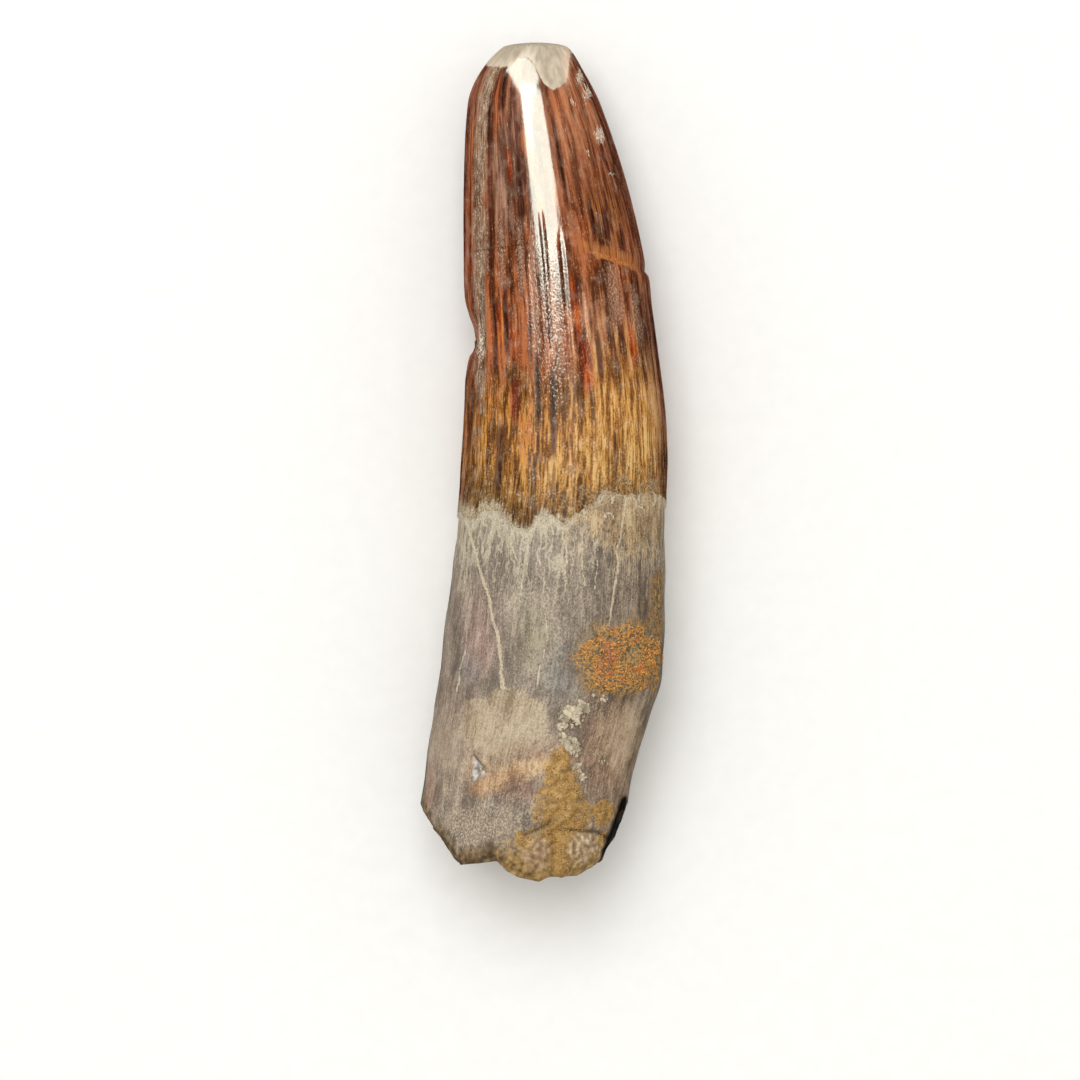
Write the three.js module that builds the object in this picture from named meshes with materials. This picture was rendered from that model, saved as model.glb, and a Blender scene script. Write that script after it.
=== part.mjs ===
// Fossil Spinosaurus tooth: a worn, fluted crown on part of its root, lying on its side.
// Millimetres, +Z up. The root break faces -Y and the tip +Y. "along" is measured from the root break,
// and x runs across from the line through the middle of the root.
import * as THREE from 'three';

const { clamp, degToRad, lerp, smoothstep } = THREE.MathUtils;

// ---- Driving dimensions ----

const LENGTH = 92; // root break to worn tip
const TIP_RIM = 91.3; // where the flank turns over into the worn tip
const ENAMEL_EDGE = 40.6; // mean place of the line where the enamel ends and the root begins
const ENAMEL_THICKNESS = 0.24;
const SECTION_POWER = 2.15; // 2 is an ellipse, and more is squarer
const UNDERSIDE_SETBACK = 2.2; // how much shorter the root is below than on top

const FLUTES_ON_TOP = 14;
const FLUTES_BELOW = 8;
const FLUTE_DEPTH = 0.1;
const FLUTE_WEAR = { from: 56, to: 72, share: 0.95 }; // the flutes are worn away towards the tip
const COLUMNS_PER_FLUTE = 4;

const KEEL_HEIGHT = 0.35; // the cutting edges, or carinae
const KEEL_WIDTH = degToRad( 5 );
const KEEL_ANGLES = [ 172, - 6 ].map( degToRad );
const FLUTE_RISE = 4; // how far above the enamel edge the flutes reach their depth
const KEEL_RISE = [ - 1, 6 ]; // where the cutting edges rise, measured from the enamel edge
const CROWN_RELIEF_END = 85; // above this, flutes and cutting edges run out into the worn tip

// Each edge as [ along, value ], followed by a smooth curve.
const LEFT_EDGE = [
	[ 0, - 14.0 ], [ 13, - 12.45 ], [ 26, - 10.6 ], [ 44, - 8.45 ], [ 54, - 7.85 ], [ 66, - 7.9 ],
	[ 78, - 7.85 ], [ 85.5, - 7.4 ], [ 88, - 6.65 ], [ 90, - 5.45 ], [ 91.3, - 4.2 ], [ 92, - 3.2 ],
];
const RIGHT_EDGE = [
	[ 0, 8.5 ], [ 8.5, 9.65 ], [ 13, 10.55 ], [ 17.5, 12.0 ], [ 22, 13.3 ], [ 30, 13.7 ],
	[ 42, 13.65 ], [ 50.5, 13.4 ], [ 57, 12.65 ], [ 68, 11.0 ], [ 77, 8.9 ], [ 85.5, 6.05 ],
	[ 90, 3.95 ], [ 91.3, 3.1 ], [ 92, 2.3 ],
];
const CREST = [
	[ 0, 16.6 ], [ 6, 17.9 ], [ 20, 18.6 ], [ 40, 18.1 ], [ 56, 17.3 ], [ 66, 16.1 ], [ 76, 14.3 ],
	[ 86, 11.8 ], [ 90, 10.4 ], [ 92, 9.2 ],
];
const BELLY = [
	[ 0, 1.6 ], [ 8, 0.7 ], [ 20, 0.02 ], [ 28, - 0.18 ], [ 38, - 0.24 ], [ 48, - 0.14 ], [ 56, 0.15 ],
	[ 65, 0.7 ], [ 80, 2.0 ], [ 88, 3.2 ], [ 92, 4.6 ],
];

// The root break seen from above and the ragged enamel edge, as [ x, along ] with straight runs.
const ROOT_BREAK = [
	[ - 13.4, 6.8 ], [ - 9.0, 1.8 ], [ - 4.8, 2.3 ], [ - 3.7, 1.2 ], [ - 2.4, 0.5 ], [ 0, 0 ],
	[ 1.1, 0.5 ], [ 4.4, 0.6 ], [ 6.8, 1.7 ], [ 8.1, 3.2 ], [ 9.3, 6.4 ],
];
const ENAMEL_LINE = [
	[ - 8.6, 40.2 ], [ - 6.8, 39.0 ], [ - 5.9, 40.5 ], [ - 4.4, 39.8 ], [ - 2.6, 38.6 ], [ - 1.2, 38.1 ],
	[ 0.2, 40.0 ], [ 1.5, 39.8 ], [ 2.6, 38.9 ], [ 5.3, 41.1 ], [ 6.8, 42.4 ], [ 8.6, 42.2 ],
	[ 9.9, 41.8 ], [ 11.8, 42.5 ], [ 13.6, 41.6 ],
];
const ENAMEL_LINE_BELOW = { along: 40.4, swing: 0.9, wave: 6 };

// Damage on the crown.
const FLANK_NOTCH = {
	along: 59.6, halfLength: 2.6, depth: 1.35, angle: degToRad( 176 ), spread: degToRad( 24 ),
};
const FLANK_CRACK = { // the enamel stands proud by a step on its root side
	along: 68.6, fall: 0.3, from: 5.2, depth: 0.22, width: 0.5, step: 0.2, stepLength: 4,
};
const WEAR_FACETS = [ // flat worn faces at the tip: a point on each, and its fall to the tip and to the right
	{ x: 1.6, along: 86.9, z: 11.4, fallToTip: 0.5, fallRight: 0.38 },
	{ x: - 3.7, along: 90, z: 9.85, fallToTip: 1.5, fallRight: - 0.9 },
];

const FACET_DEPTH = 2; // the most that a worn face cuts away

// Features on the upper face of the root, as places on the plan. Waves make each uneven by a share.
const ROOT_WAVES = { height: 0.12, squeeze: 1.6, wave: 11 };
const PIT = {
	corners: [ [ - 7.26, 13.97 ], [ - 5.55, 11.99 ], [ - 7.48, 10.56 ] ], depth: 0.5, side: [ - 0.1, 0.35 ],
};
const CRUST = {
	x: 8.6, along: 24.3, halfWidth: 4.9, halfLength: 3.9, height: 0.25, side: [ 0.85, 1.05 ],
	level: 0.8, swing: 0.3, wave: 2.2,
};
const SANDSTONE = {
	top: [ 2.1, 13.9 ], foot: [ 2.4, 7.4 ], topRadius: 0.9, footRadius: 3.0, height: 0.4,
	side: [ 0.5, 1.1 ], level: 0.8, swing: 0.4, wave: 1.9,
};
const LUMPS = [ // cemented crumbs first, then the two lumps of the filled pulp cavity
	{ x: 4.0, along: 18.8, width: 1.35, height: 0.6 },
	{ x: 3.2, along: 15.2, width: 1.2, height: 0.6 },
	{ x: - 0.6, along: 3.0, width: 1.85, height: 0.7 },
	{ x: 4.7, along: 3.4, width: 2.2, height: 0.8 },
];
const GROOVES = [ // each a run of points [ x, along ] with its depth and width
	{ path: [ [ 1.4, 5.8 ], [ 3.4, 5.7 ], [ 6.3, 5.4 ], [ 7.4, 4.6 ] ], depth: 0.35, width: 0.28 },
	{ path: [ [ 1.8, 7.8 ], [ 0.8, 6.2 ], [ - 1.6, 5.2 ] ], depth: 0.35, width: 0.3 },
	{ path: [ [ 1.5, 5.6 ], [ 1.5, 0.4 ] ], depth: 0.5, width: 0.25 },
];
const CREVICE = { // between the wall of root and the filling
	path: [ [ 9.3, 8.4 ], [ 8.2, 5.4 ], [ 7.2, 2.9 ] ], depth: 2.6, width: 0.6,
};
const PULP_FILL = { x: 2.0, along: 2.2, halfWidth: 6.4, halfLength: 4.0, sink: 0.2, side: [ 0.75, 1.25 ] };

// The broken face: its outer edge is rounded off, and it leans back below this height.
const BREAK_BEVEL = { width: 1.2, depth: 0.8 };
const BREAK_LEAN_TOP = 15;
const BREAK_LEAN_WAVES = { height: 0.25, wave: 5 };
const BREAK_WAVES = { height: 0.2, wave: 4.1 };
const BREAK_GAP = { inwards: 0.33, width: 0.09, depth: 0.5 }; // between the wall of root and the core
const BREAK_CORE = { from: 0.36, to: 0.6, depth: 0.2, swing: 0.35, wave: 6 };
const BREAK_RIM_SHARE = 0.15; // over this share of the way inwards the rounded edge meets the face

// How finely the skin is laid out: rows along the tooth, and rings closing each end.
const ROOT_ROWS = 25;
const CROWN_SPANS = [ [ 56, 4 ], [ 63.5, 5 ], [ 66.1, 1 ], [ 67.7, 3 ], [ 84, 4 ], [ TIP_RIM, 5 ] ];
const LEDGE_WIDTH = 0.3;
const RINGS_AT_BREAK = 6;
const RINGS_AT_TIP = 3;

// ---- Small helpers ----

// Smooth curve through [ along, value ] points, with each slope taken from the neighbours.
function smoothCurve( knots ) {

	const slope = ( i ) => {

		const a = knots[ Math.max( i - 1, 0 ) ];
		const b = knots[ Math.min( i + 1, knots.length - 1 ) ];
		return ( b[ 1 ] - a[ 1 ] ) / ( b[ 0 ] - a[ 0 ] );

	};

	return ( along ) => {

		const next = clamp( knots.findIndex( ( k ) => k[ 0 ] > along ), 1, knots.length - 1 );
		const i = along >= knots.at( - 1 )[ 0 ] ? knots.length - 2 : next - 1;
		const [ a0, v0 ] = knots[ i ];
		const [ a1, v1 ] = knots[ i + 1 ];
		const span = a1 - a0;
		const t = ( along - a0 ) / span;
		const ease = t * t * ( 3 - 2 * t );
		return v0 + ( v1 - v0 ) * ease + span * t * ( 1 - t ) * ( slope( i ) * ( 1 - t ) - slope( i + 1 ) * t );

	};

}

// Straight runs between [ position, value ] points, level beyond the ends.
function straightRuns( knots ) {

	return ( position ) => {

		const end = knots.findIndex( ( k ) => k[ 0 ] > position );
		if ( end === 0 ) return knots[ 0 ][ 1 ];
		if ( end === - 1 ) return knots.at( - 1 )[ 1 ];
		const [ p0, v0 ] = knots[ end - 1 ];
		const [ p1, v1 ] = knots[ end ];
		return lerp( v0, v1, ( position - p0 ) / ( p1 - p0 ) );

	};

}

// 1 at the middle, falling off smoothly at about the given width on both sides.
const swell = ( distance, width ) => Math.exp( - ( ( distance / width ) ** 2 ) );

// Rolling unevenness from -1 to 1 over a plane, with waves of about the given length.
function unevenness( a, b, waveLength ) {

	const k = 2 * Math.PI / waveLength;
	const first = Math.sin( k * a + 1.3 * Math.sin( 0.7 * k * b ) );
	const second = Math.sin( k * ( 0.6 * b - 0.8 * a ) + 2.1 );
	const third = Math.sin( 1.7 * k * b + 0.9 * Math.sin( k * a ) );
	return ( first + second + third ) / 3;

}

// Distance on the plan from a place to a run of points.
function distanceToPath( x, along, path ) {

	let nearest = Infinity;
	for ( let i = 0; i + 1 < path.length; i ++ ) {

		const [ ax, ay ] = path[ i ];
		const [ dx, dy ] = [ path[ i + 1 ][ 0 ] - ax, path[ i + 1 ][ 1 ] - ay ];
		const t = clamp( ( ( x - ax ) * dx + ( along - ay ) * dy ) / ( dx * dx + dy * dy ), 0, 1 );
		nearest = Math.min( nearest, Math.hypot( x - ax - t * dx, along - ay - t * dy ) );

	}

	return nearest;

}

const leftEdge = smoothCurve( LEFT_EDGE );
const rightEdge = smoothCurve( RIGHT_EDGE );
const crest = smoothCurve( CREST );
const belly = smoothCurve( BELLY );
const rootBreakFromAbove = straightRuns( ROOT_BREAK );
const enamelLine = straightRuns( ENAMEL_LINE );

// ---- The smooth body ----

// A point of the plain body, with the outward direction in its cross section.
// Each cross section is a superellipse between the two edges, the crest and the belly.
function bodyPoint( angle, along ) {

	const halfWidth = ( rightEdge( along ) - leftEdge( along ) ) / 2;
	const halfHeight = ( crest( along ) - belly( along ) ) / 2;
	const round = ( wave ) => Math.sign( wave ) * Math.abs( wave ) ** ( 2 / SECTION_POWER );
	const across = round( Math.cos( angle ) );
	const up = round( Math.sin( angle ) );
	const steepness = ( share ) => Math.sign( share ) * Math.abs( share ) ** ( SECTION_POWER - 1 );
	const outX = steepness( across ) / halfWidth;
	const outZ = steepness( up ) / halfHeight;
	const size = Math.hypot( outX, outZ );

	return {
		x: ( rightEdge( along ) + leftEdge( along ) ) / 2 + halfWidth * across,
		z: ( crest( along ) + belly( along ) ) / 2 + halfHeight * up,
		outX: outX / size,
		outZ: outZ / size,
	};

}

// The broken root end as a leaning, uneven face over x and z: further back below than on top.
function rootBreak( x, z ) {

	const down = clamp( 1 - z / BREAK_LEAN_TOP, 0, 1 );
	const waves = BREAK_LEAN_WAVES.height * unevenness( x, z, BREAK_LEAN_WAVES.wave );
	return rootBreakFromAbove( x ) + ( UNDERSIDE_SETBACK + waves ) * down;

}

// Where each column of the skin starts at the break and crosses the enamel edge.
function columnLines( angle ) {

	let rim = 3;
	for ( let pass = 0; pass < 4; pass ++ ) {

		const { x, z } = bodyPoint( angle, rim );
		rim = rootBreak( x, z );

	}

	const { x, outZ } = bodyPoint( angle, ENAMEL_EDGE );
	const { along, swing, wave } = ENAMEL_LINE_BELOW;
	const below = along + swing * unevenness( x, 3, wave );
	return { rim, enamel: lerp( below, enamelLine( x ), smoothstep( outZ, - 0.3, 0.3 ) ) };

}

// ---- Relief, in mm outwards ----

function fluteRelief( angle, aboveEnamel, along ) {

	const flutes = Math.sin( angle ) >= 0 ? FLUTES_ON_TOP : FLUTES_BELOW;
	const groove = 0.5 - 0.5 * Math.cos( 2 * flutes * angle );
	const runOut = 1 - smoothstep( along, CROWN_RELIEF_END, TIP_RIM );
	const fade = smoothstep( aboveEnamel, 0, FLUTE_RISE ) * runOut;
	const wear = 1 - FLUTE_WEAR.share * smoothstep( along, FLUTE_WEAR.from, FLUTE_WEAR.to );
	return - FLUTE_DEPTH * groove * fade * wear;

}

function keelRelief( angle, aboveEnamel, along ) {

	const runOut = 1 - smoothstep( along, CROWN_RELIEF_END, TIP_RIM );
	const fade = smoothstep( aboveEnamel, ...KEEL_RISE ) * runOut;
	const shape = KEEL_ANGLES.reduce( ( sum, at ) => {

		const turn = Math.atan2( Math.sin( angle - at ), Math.cos( angle - at ) );
		return sum + swell( turn, KEEL_WIDTH );

	}, 0 );
	return KEEL_HEIGHT * shape * fade;

}

function crownDamage( angle, x, along ) {

	const { spread, halfLength } = FLANK_NOTCH;
	const turn = angle - FLANK_NOTCH.angle;
	const notch = swell( turn, spread ) * swell( along - FLANK_NOTCH.along, halfLength );
	const { from, step, stepLength } = FLANK_CRACK;
	const offCrack = along - FLANK_CRACK.along + FLANK_CRACK.fall * ( x - from );
	const crack = smoothstep( x, from - 1, from + 2 ) * swell( offCrack, FLANK_CRACK.width );
	const proud = smoothstep( x, from, from + 2 ) * smoothstep( offCrack, - stepLength, 0 ) * ( offCrack < 0 );
	return step * proud - FLANK_NOTCH.depth * notch - FLANK_CRACK.depth * crack;

}

// The three-cornered pit: how far a place lies inside the nearest of its sides.
function pitRelief( x, along ) {

	const { corners, depth, side } = PIT;
	const inside = corners.map( ( [ ax, ay ], i ) => {

		const [ bx, by ] = corners[ ( i + 1 ) % corners.length ];
		return ( ( by - ay ) * ( x - ax ) - ( bx - ax ) * ( along - ay ) ) / Math.hypot( bx - ax, by - ay );

	} );
	return - depth * smoothstep( Math.min( ...inside ), ...side );

}

// The share of a layer's height that is left at a place: none beyond its side, and uneven within.
function layerShare( reach, x, along, { side, level, swing, wave } ) {

	return ( 1 - smoothstep( reach, ...side ) ) * ( level + swing * unevenness( x, along, wave ) );

}

function crustRelief( x, along ) {

	const reach = Math.hypot( ( x - CRUST.x ) / CRUST.halfWidth, ( along - CRUST.along ) / CRUST.halfLength );
	return CRUST.height * layerShare( reach, x, along, CRUST );

}

function sandstoneRelief( x, along ) {

	const { top, foot, topRadius, footRadius } = SANDSTONE;
	const t = clamp( ( top[ 1 ] - along ) / ( top[ 1 ] - foot[ 1 ] ), 0, 1 );
	const reach = distanceToPath( x, along, [ top, foot ] ) / lerp( topRadius, footRadius, t );
	return SANDSTONE.height * layerShare( reach, x, along, SANDSTONE );

}

function pulpFillRelief( x, along ) {

	const { halfWidth, halfLength, sink, side } = PULP_FILL;
	const reach = Math.hypot( ( x - PULP_FILL.x ) / halfWidth, ( along - PULP_FILL.along ) / halfLength );
	return - sink * ( 1 - smoothstep( reach, ...side ) );

}

// What lies on or cuts into the upper face of the root.
function upperFaceRelief( x, along ) {

	const lumps = LUMPS.reduce( ( sum, lump ) =>
		sum + lump.height * swell( Math.hypot( x - lump.x, along - lump.along ), lump.width ), 0 );
	const grooves = GROOVES.reduce( ( sum, groove ) =>
		sum + groove.depth * swell( distanceToPath( x, along, groove.path ), groove.width ), 0 );
	return pitRelief( x, along ) + crustRelief( x, along ) + sandstoneRelief( x, along )
		+ pulpFillRelief( x, along ) + lumps - grooves;

}

// A point of the finished skin: the plain body moved outwards by all of its relief.
function skinPoint( angle, along, lines ) {

	const { x, z, outX, outZ } = bodyPoint( angle, along );
	const aboveEnamel = along - lines.enamel;
	const root = 1 - smoothstep( aboveEnamel, - 3, 0 );
	const relief = ENAMEL_THICKNESS * smoothstep( aboveEnamel, - LEDGE_WIDTH / 2, LEDGE_WIDTH / 2 )
		+ root * ROOT_WAVES.height * unevenness( ROOT_WAVES.squeeze * x, along, ROOT_WAVES.wave )
		+ smoothstep( outZ, 0.05, 0.35 ) * upperFaceRelief( x, along )
		+ fluteRelief( angle, aboveEnamel, along )
		+ keelRelief( angle, aboveEnamel, along )
		+ crownDamage( angle, x, along )
		- BREAK_BEVEL.depth * ( 1 - smoothstep( along - lines.rim, 0, BREAK_BEVEL.width ) );

	const skin = { x: x + outX * relief, z: z + outZ * relief };
	for ( const facet of WEAR_FACETS ) {

		const face = facet.z - facet.fallToTip * ( along - facet.along ) - facet.fallRight * ( skin.x - facet.x );
		if ( outZ > 0 ) skin.z = Math.min( skin.z, Math.max( face, z - FACET_DEPTH ) );

	}

	const crevice = swell( distanceToPath( x, along, CREVICE.path ), CREVICE.width );
	skin.z -= CREVICE.depth * crevice * smoothstep( outZ, 0.2, 0.5 );

	// The belly is worn to a small flat on which the tooth rests.
	return new THREE.Vector3( skin.x, along, Math.max( skin.z, 0 ) );

}

// ---- The skin as one closed mesh ----

function columnAngles() {

	const top = FLUTES_ON_TOP * COLUMNS_PER_FLUTE;
	const below = FLUTES_BELOW * COLUMNS_PER_FLUTE;
	return [
		...Array.from( { length: top }, ( _, i ) => Math.PI * i / top ),
		...Array.from( { length: below }, ( _, i ) => Math.PI * ( 1 + i / below ) ),
	];

}

// Rows from the break to the tip, closer together near the break and at the damage.
function rowStations() {

	const stations = [];
	for ( let i = 0; i < ROOT_ROWS; i ++ ) stations.push( ENAMEL_EDGE * ( i / ROOT_ROWS ) ** 1.3 );
	stations.push( ENAMEL_EDGE - LEDGE_WIDTH / 2, ENAMEL_EDGE + LEDGE_WIDTH / 2 );
	for ( const [ end, count ] of CROWN_SPANS ) {

		const start = stations.at( - 1 );
		for ( let i = 1; i <= count; i ++ ) stations.push( lerp( start, end, i / count ) );

	}

	return stations;

}

// Rows are drawn level, except that the first follow the break and the middle ones the enamel edge.
function rowPlace( station, lines ) {

	const toBreak = clamp( 1 - station / 20, 0, 1 );
	const toEnamel = clamp( 1 - Math.abs( station - ENAMEL_EDGE ) / 12, 0, 1 );
	return station + lines.rim * toBreak + ( lines.enamel - ENAMEL_EDGE ) * toEnamel;

}

// Rings from an end of the flank to its middle. place( inwards, rimAlong, x, z ) says where each lies.
function closingRings( rim, count, place ) {

	const middle = rim.reduce( ( sum, p ) => sum.add( p ), new THREE.Vector3() ).divideScalar( rim.length );
	const rings = [];
	for ( let i = 1; i < count; i ++ ) {

		const inwards = i / count;
		rings.push( rim.map( ( p ) => {

			const x = lerp( p.x, middle.x, inwards );
			const z = lerp( p.z, middle.z, inwards );
			return new THREE.Vector3( x, place( inwards, p.y, x, z ), z );

		} ) );

	}

	const pole = new THREE.Vector3( middle.x, place( 1, middle.y, middle.x, middle.z ), middle.z );
	return { rings, pole };

}

// The break: a wall of root about 3 mm thick round a sandy core, with a gap between them.
function breakPlace( inwards, rimAlong, x, z ) {

	const { from, to, depth, swing, wave } = BREAK_CORE;
	const offRim = smoothstep( inwards, 0, BREAK_RIM_SHARE );
	const gap = BREAK_GAP.depth * swell( inwards - BREAK_GAP.inwards, BREAK_GAP.width );
	const core = smoothstep( inwards, from, to ) * ( depth + swing * unevenness( x, z, wave ) );
	const waves = BREAK_WAVES.height * unevenness( x, z, BREAK_WAVES.wave );
	return lerp( rimAlong, rootBreak( x, z ), offRim ) + gap - core + offRim * waves;

}

// The worn tip: a low dome from the rim.
function tipPlace( inwards, rimAlong ) {

	return lerp( rimAlong, LENGTH, Math.sqrt( 1 - ( 1 - inwards ) ** 2 ) );

}

function toothGeometry() {

	const columns = columnAngles();
	const lines = columns.map( columnLines );
	const flank = rowStations().map( ( station ) =>
		columns.map( ( angle, i ) => skinPoint( angle, rowPlace( station, lines[ i ] ), lines[ i ] ) ) );
	const rootEnd = closingRings( flank[ 0 ], RINGS_AT_BREAK, breakPlace );
	const tipEnd = closingRings( flank.at( - 1 ), RINGS_AT_TIP, tipPlace );

	const rings = [ ...rootEnd.rings.reverse(), ...flank, ...tipEnd.rings ];
	const points = [ ...rings.flat(), rootEnd.pole, tipEnd.pole ];
	const around = columns.length;
	const rootPole = rings.length * around;
	const tipPole = rootPole + 1;
	const lastRing = ( rings.length - 1 ) * around;
	const faces = [];
	for ( let i = 0; i < around; i ++ ) {

		const j = ( i + 1 ) % around;
		faces.push( rootPole, i, j );
		faces.push( tipPole, lastRing + j, lastRing + i );
		for ( let row = 0; row < lastRing; row += around ) {

			faces.push( row + i, row + around + i, row + j );
			faces.push( row + j, row + around + i, row + around + j );

		}

	}

	const geometry = new THREE.BufferGeometry().setFromPoints( points );
	geometry.setIndex( faces );
	return geometry;

}

// The origin is under the middle of the tooth, on the surface it lies on.
function placedOnItsBelly( geometry ) {

	geometry.computeBoundingBox();
	const { min, max } = geometry.boundingBox;
	geometry.translate( - ( min.x + max.x ) / 2, - ( min.y + max.y ) / 2, - min.z );
	geometry.computeVertexNormals();
	return geometry;

}

const fossilDentine = new THREE.MeshStandardMaterial( { color: 0x8a6a50, roughness: 0.5, metalness: 0 } );

const tooth = new THREE.Mesh( placedOnItsBelly( toothGeometry() ), fossilDentine );
tooth.name = 'tooth';

const group = new THREE.Group();
group.add( tooth );

export default group;
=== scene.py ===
import functools
import math

import bpy
import numpy as np
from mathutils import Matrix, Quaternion, Vector


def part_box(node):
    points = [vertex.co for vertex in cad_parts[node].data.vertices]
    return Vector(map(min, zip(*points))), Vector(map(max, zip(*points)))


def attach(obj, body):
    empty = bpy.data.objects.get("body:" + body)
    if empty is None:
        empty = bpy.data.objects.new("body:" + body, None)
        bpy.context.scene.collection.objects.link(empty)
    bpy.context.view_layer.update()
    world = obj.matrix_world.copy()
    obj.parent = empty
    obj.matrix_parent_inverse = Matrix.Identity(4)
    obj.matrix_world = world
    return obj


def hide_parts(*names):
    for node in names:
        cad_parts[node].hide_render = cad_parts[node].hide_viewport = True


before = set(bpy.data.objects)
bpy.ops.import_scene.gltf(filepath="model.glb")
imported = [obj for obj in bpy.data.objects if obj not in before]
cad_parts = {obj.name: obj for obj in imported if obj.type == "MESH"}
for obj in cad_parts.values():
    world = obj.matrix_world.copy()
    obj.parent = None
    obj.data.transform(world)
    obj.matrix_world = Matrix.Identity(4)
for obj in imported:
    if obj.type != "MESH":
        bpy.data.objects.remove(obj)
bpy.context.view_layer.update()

TOOTH_LOW, TOOTH_HIGH = (np.array(corner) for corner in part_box("tooth"))

bl_info = {
    "name": "Fossil Spinosaurus Tooth",
    "version": (1, 0, 0),
    "blender": (4, 5, 0),
    "location": "3D View > Sidebar > Fossil Tooth",
    "description": "Builds a fossil Spinosaurus tooth with a fluted crown, a crazed root and a sandy break",
    "category": "Add Mesh",
}

MM = 0.001

# ---- The tooth's shape, in millimetres ----
# "along" runs from the root break to the tip, and x across from the line through the root's middle.

LENGTH = 92.0
TIP_RIM = 91.3
ENAMEL_EDGE = 40.6
ENAMEL_THICKNESS = 0.24
SECTION_POWER = 2.15
UNDERSIDE_SETBACK = 2.2
LEDGE_WIDTH = 0.3
ENAMEL_EDGE_BELOW = 40.4  # the enamel's edge on the underside
BREAK_LEAN_TOP = 15.0  # below this height, the broken face leans back

LEFT_EDGE = (
    (0, -14.0), (13, -12.45), (26, -10.6), (44, -8.45), (54, -7.85), (66, -7.9),
    (78, -7.85), (85.5, -7.4), (88, -6.65), (90, -5.45), (91.3, -4.2), (92, -3.2),
)
RIGHT_EDGE = (
    (0, 8.5), (8.5, 9.65), (13, 10.55), (17.5, 12.0), (22, 13.3), (30, 13.7), (42, 13.65),
    (50.5, 13.4), (57, 12.65), (68, 11.0), (77, 8.9), (85.5, 6.05), (90, 3.95), (91.3, 3.1), (92, 2.3),
)
CREST = (
    (0, 16.6), (6, 17.9), (20, 18.6), (40, 18.1), (56, 17.3), (66, 16.1), (76, 14.3), (86, 11.8), (90, 10.4),
    (92, 9.2),
)
BELLY = (
    (0, 1.6), (8, 0.7), (20, 0.02), (28, -0.18), (38, -0.24), (48, -0.14), (56, 0.15), (65, 0.7),
    (80, 2.0), (88, 3.2), (92, 4.6),
)
ROOT_BREAK = (
    (-13.4, 6.8), (-9.0, 1.8), (-4.8, 2.3), (-3.7, 1.2), (-2.4, 0.5), (0, 0), (1.1, 0.5), (4.4, 0.6),
    (6.8, 1.7), (8.1, 3.2), (9.3, 6.4),
)
ENAMEL_LINE = (
    (-8.6, 40.2), (-6.8, 39.0), (-5.9, 40.5), (-4.4, 39.8), (-2.6, 38.6), (-1.2, 38.1), (0.2, 40.0),
    (1.5, 39.8), (2.6, 38.9), (5.3, 41.1), (6.8, 42.4), (8.6, 42.2), (9.9, 41.8), (11.8, 42.5), (13.6, 41.6),
)

FLUTES_ON_TOP = 14
FLUTES_BELOW = 8
FLUTE_DEPTH = 0.1
FLUTE_RISE = 4.0  # how far above the enamel's edge the flutes reach their depth
FLUTE_WEAR_START, FLUTE_WEAR_END, FLUTE_WEAR = 56, 72, 0.95  # wear takes this share of them above the end
STRIAE_PER_FLUTE = 4
CROWN_RELIEF_END = 85.0  # above this, flutes and cutting edges run out into the worn tip
STRIA_DEPTH = 0.012
KEEL_HEIGHT = 0.35
KEEL_WIDTH = math.radians(5)
KEEL_START, KEEL_END = -1, 6  # where they rise to their height, above the enamel's edge
KEEL_ANGLES = (math.radians(172), math.radians(-6))

NOTCH_ALONG, NOTCH_HALF_LENGTH, NOTCH_DEPTH = 59.6, 2.6, 1.35
NOTCH_ANGLE, NOTCH_SPREAD = math.radians(176), math.radians(24)
CRACK_ALONG, CRACK_FALL, CRACK_FROM, CRACK_DEPTH, CRACK_WIDTH = 68.6, 0.3, 5.2, 0.22, 0.5
CRACK_STEP, CRACK_STEP_LENGTH = 0.2, 4.0  # the enamel stands proud below the crack
FACET_DEPTH = 2.0  # the most that a worn facet cuts away
WEAR_FACETS = (  # x, along and z of a point on each, then its fall to the tip and to the right
    (1.6, 86.9, 11.4, 0.5, 0.38),
    (-3.7, 90.0, 9.85, 1.5, -0.9),
)

PIT_CORNERS, PIT_DEPTH = ((-7.26, 13.97), (-5.55, 11.99), (-7.48, 10.56)), 0.5
CRUST_X, CRUST_ALONG, CRUST_HALF_WIDTH, CRUST_HALF_LENGTH, CRUST_HEIGHT = 8.6, 24.3, 4.9, 3.9, 0.25
SANDSTONE_TOP, SANDSTONE_FOOT = (2.1, 13.9), (2.4, 7.4)
SANDSTONE_TOP_RADIUS, SANDSTONE_FOOT_RADIUS, SANDSTONE_HEIGHT = 0.9, 3.0, 0.4
LUMPS = (  # x, along, width, height
    (4.0, 18.8, 1.35, 0.6), (3.2, 15.2, 1.2, 0.6), (-0.6, 3.0, 1.85, 0.7), (4.7, 3.4, 2.2, 0.8),
)
GROOVES = (  # a run of (x, along) points, depth and width
    (((1.4, 5.8), (3.4, 5.7), (6.3, 5.4), (7.4, 4.6)), 0.35, 0.28),
    (((1.8, 7.8), (0.8, 6.2), (-1.6, 5.2)), 0.35, 0.3),
    (((1.5, 5.6), (1.5, 0.4)), 0.5, 0.25),
)
CREVICE, CREVICE_DEPTH, CREVICE_WIDTH = ((9.3, 8.4), (8.2, 5.4), (7.2, 2.9)), 2.6, 0.6
FILL_X, FILL_ALONG, FILL_HALF_WIDTH, FILL_HALF_LENGTH, FILL_SINK = 2.0, 2.2, 6.4, 4.0, 0.2
BEVEL_WIDTH, BEVEL_DEPTH = 1.2, 0.8  # of the break's rounded edge
BREAK_RIM_SHARE = 0.15  # over this share of the way inwards, the rounded edge meets the broken face
GAP_INWARDS, GAP_WIDTH, GAP_DEPTH = 0.33, 0.09, 0.5  # between the wall of root and the sandy core
CORE_START, CORE_END, CORE_DEPTH = 0.36, 0.6, 0.2

# ---- Its markings, on the plan in millimetres ----

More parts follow.
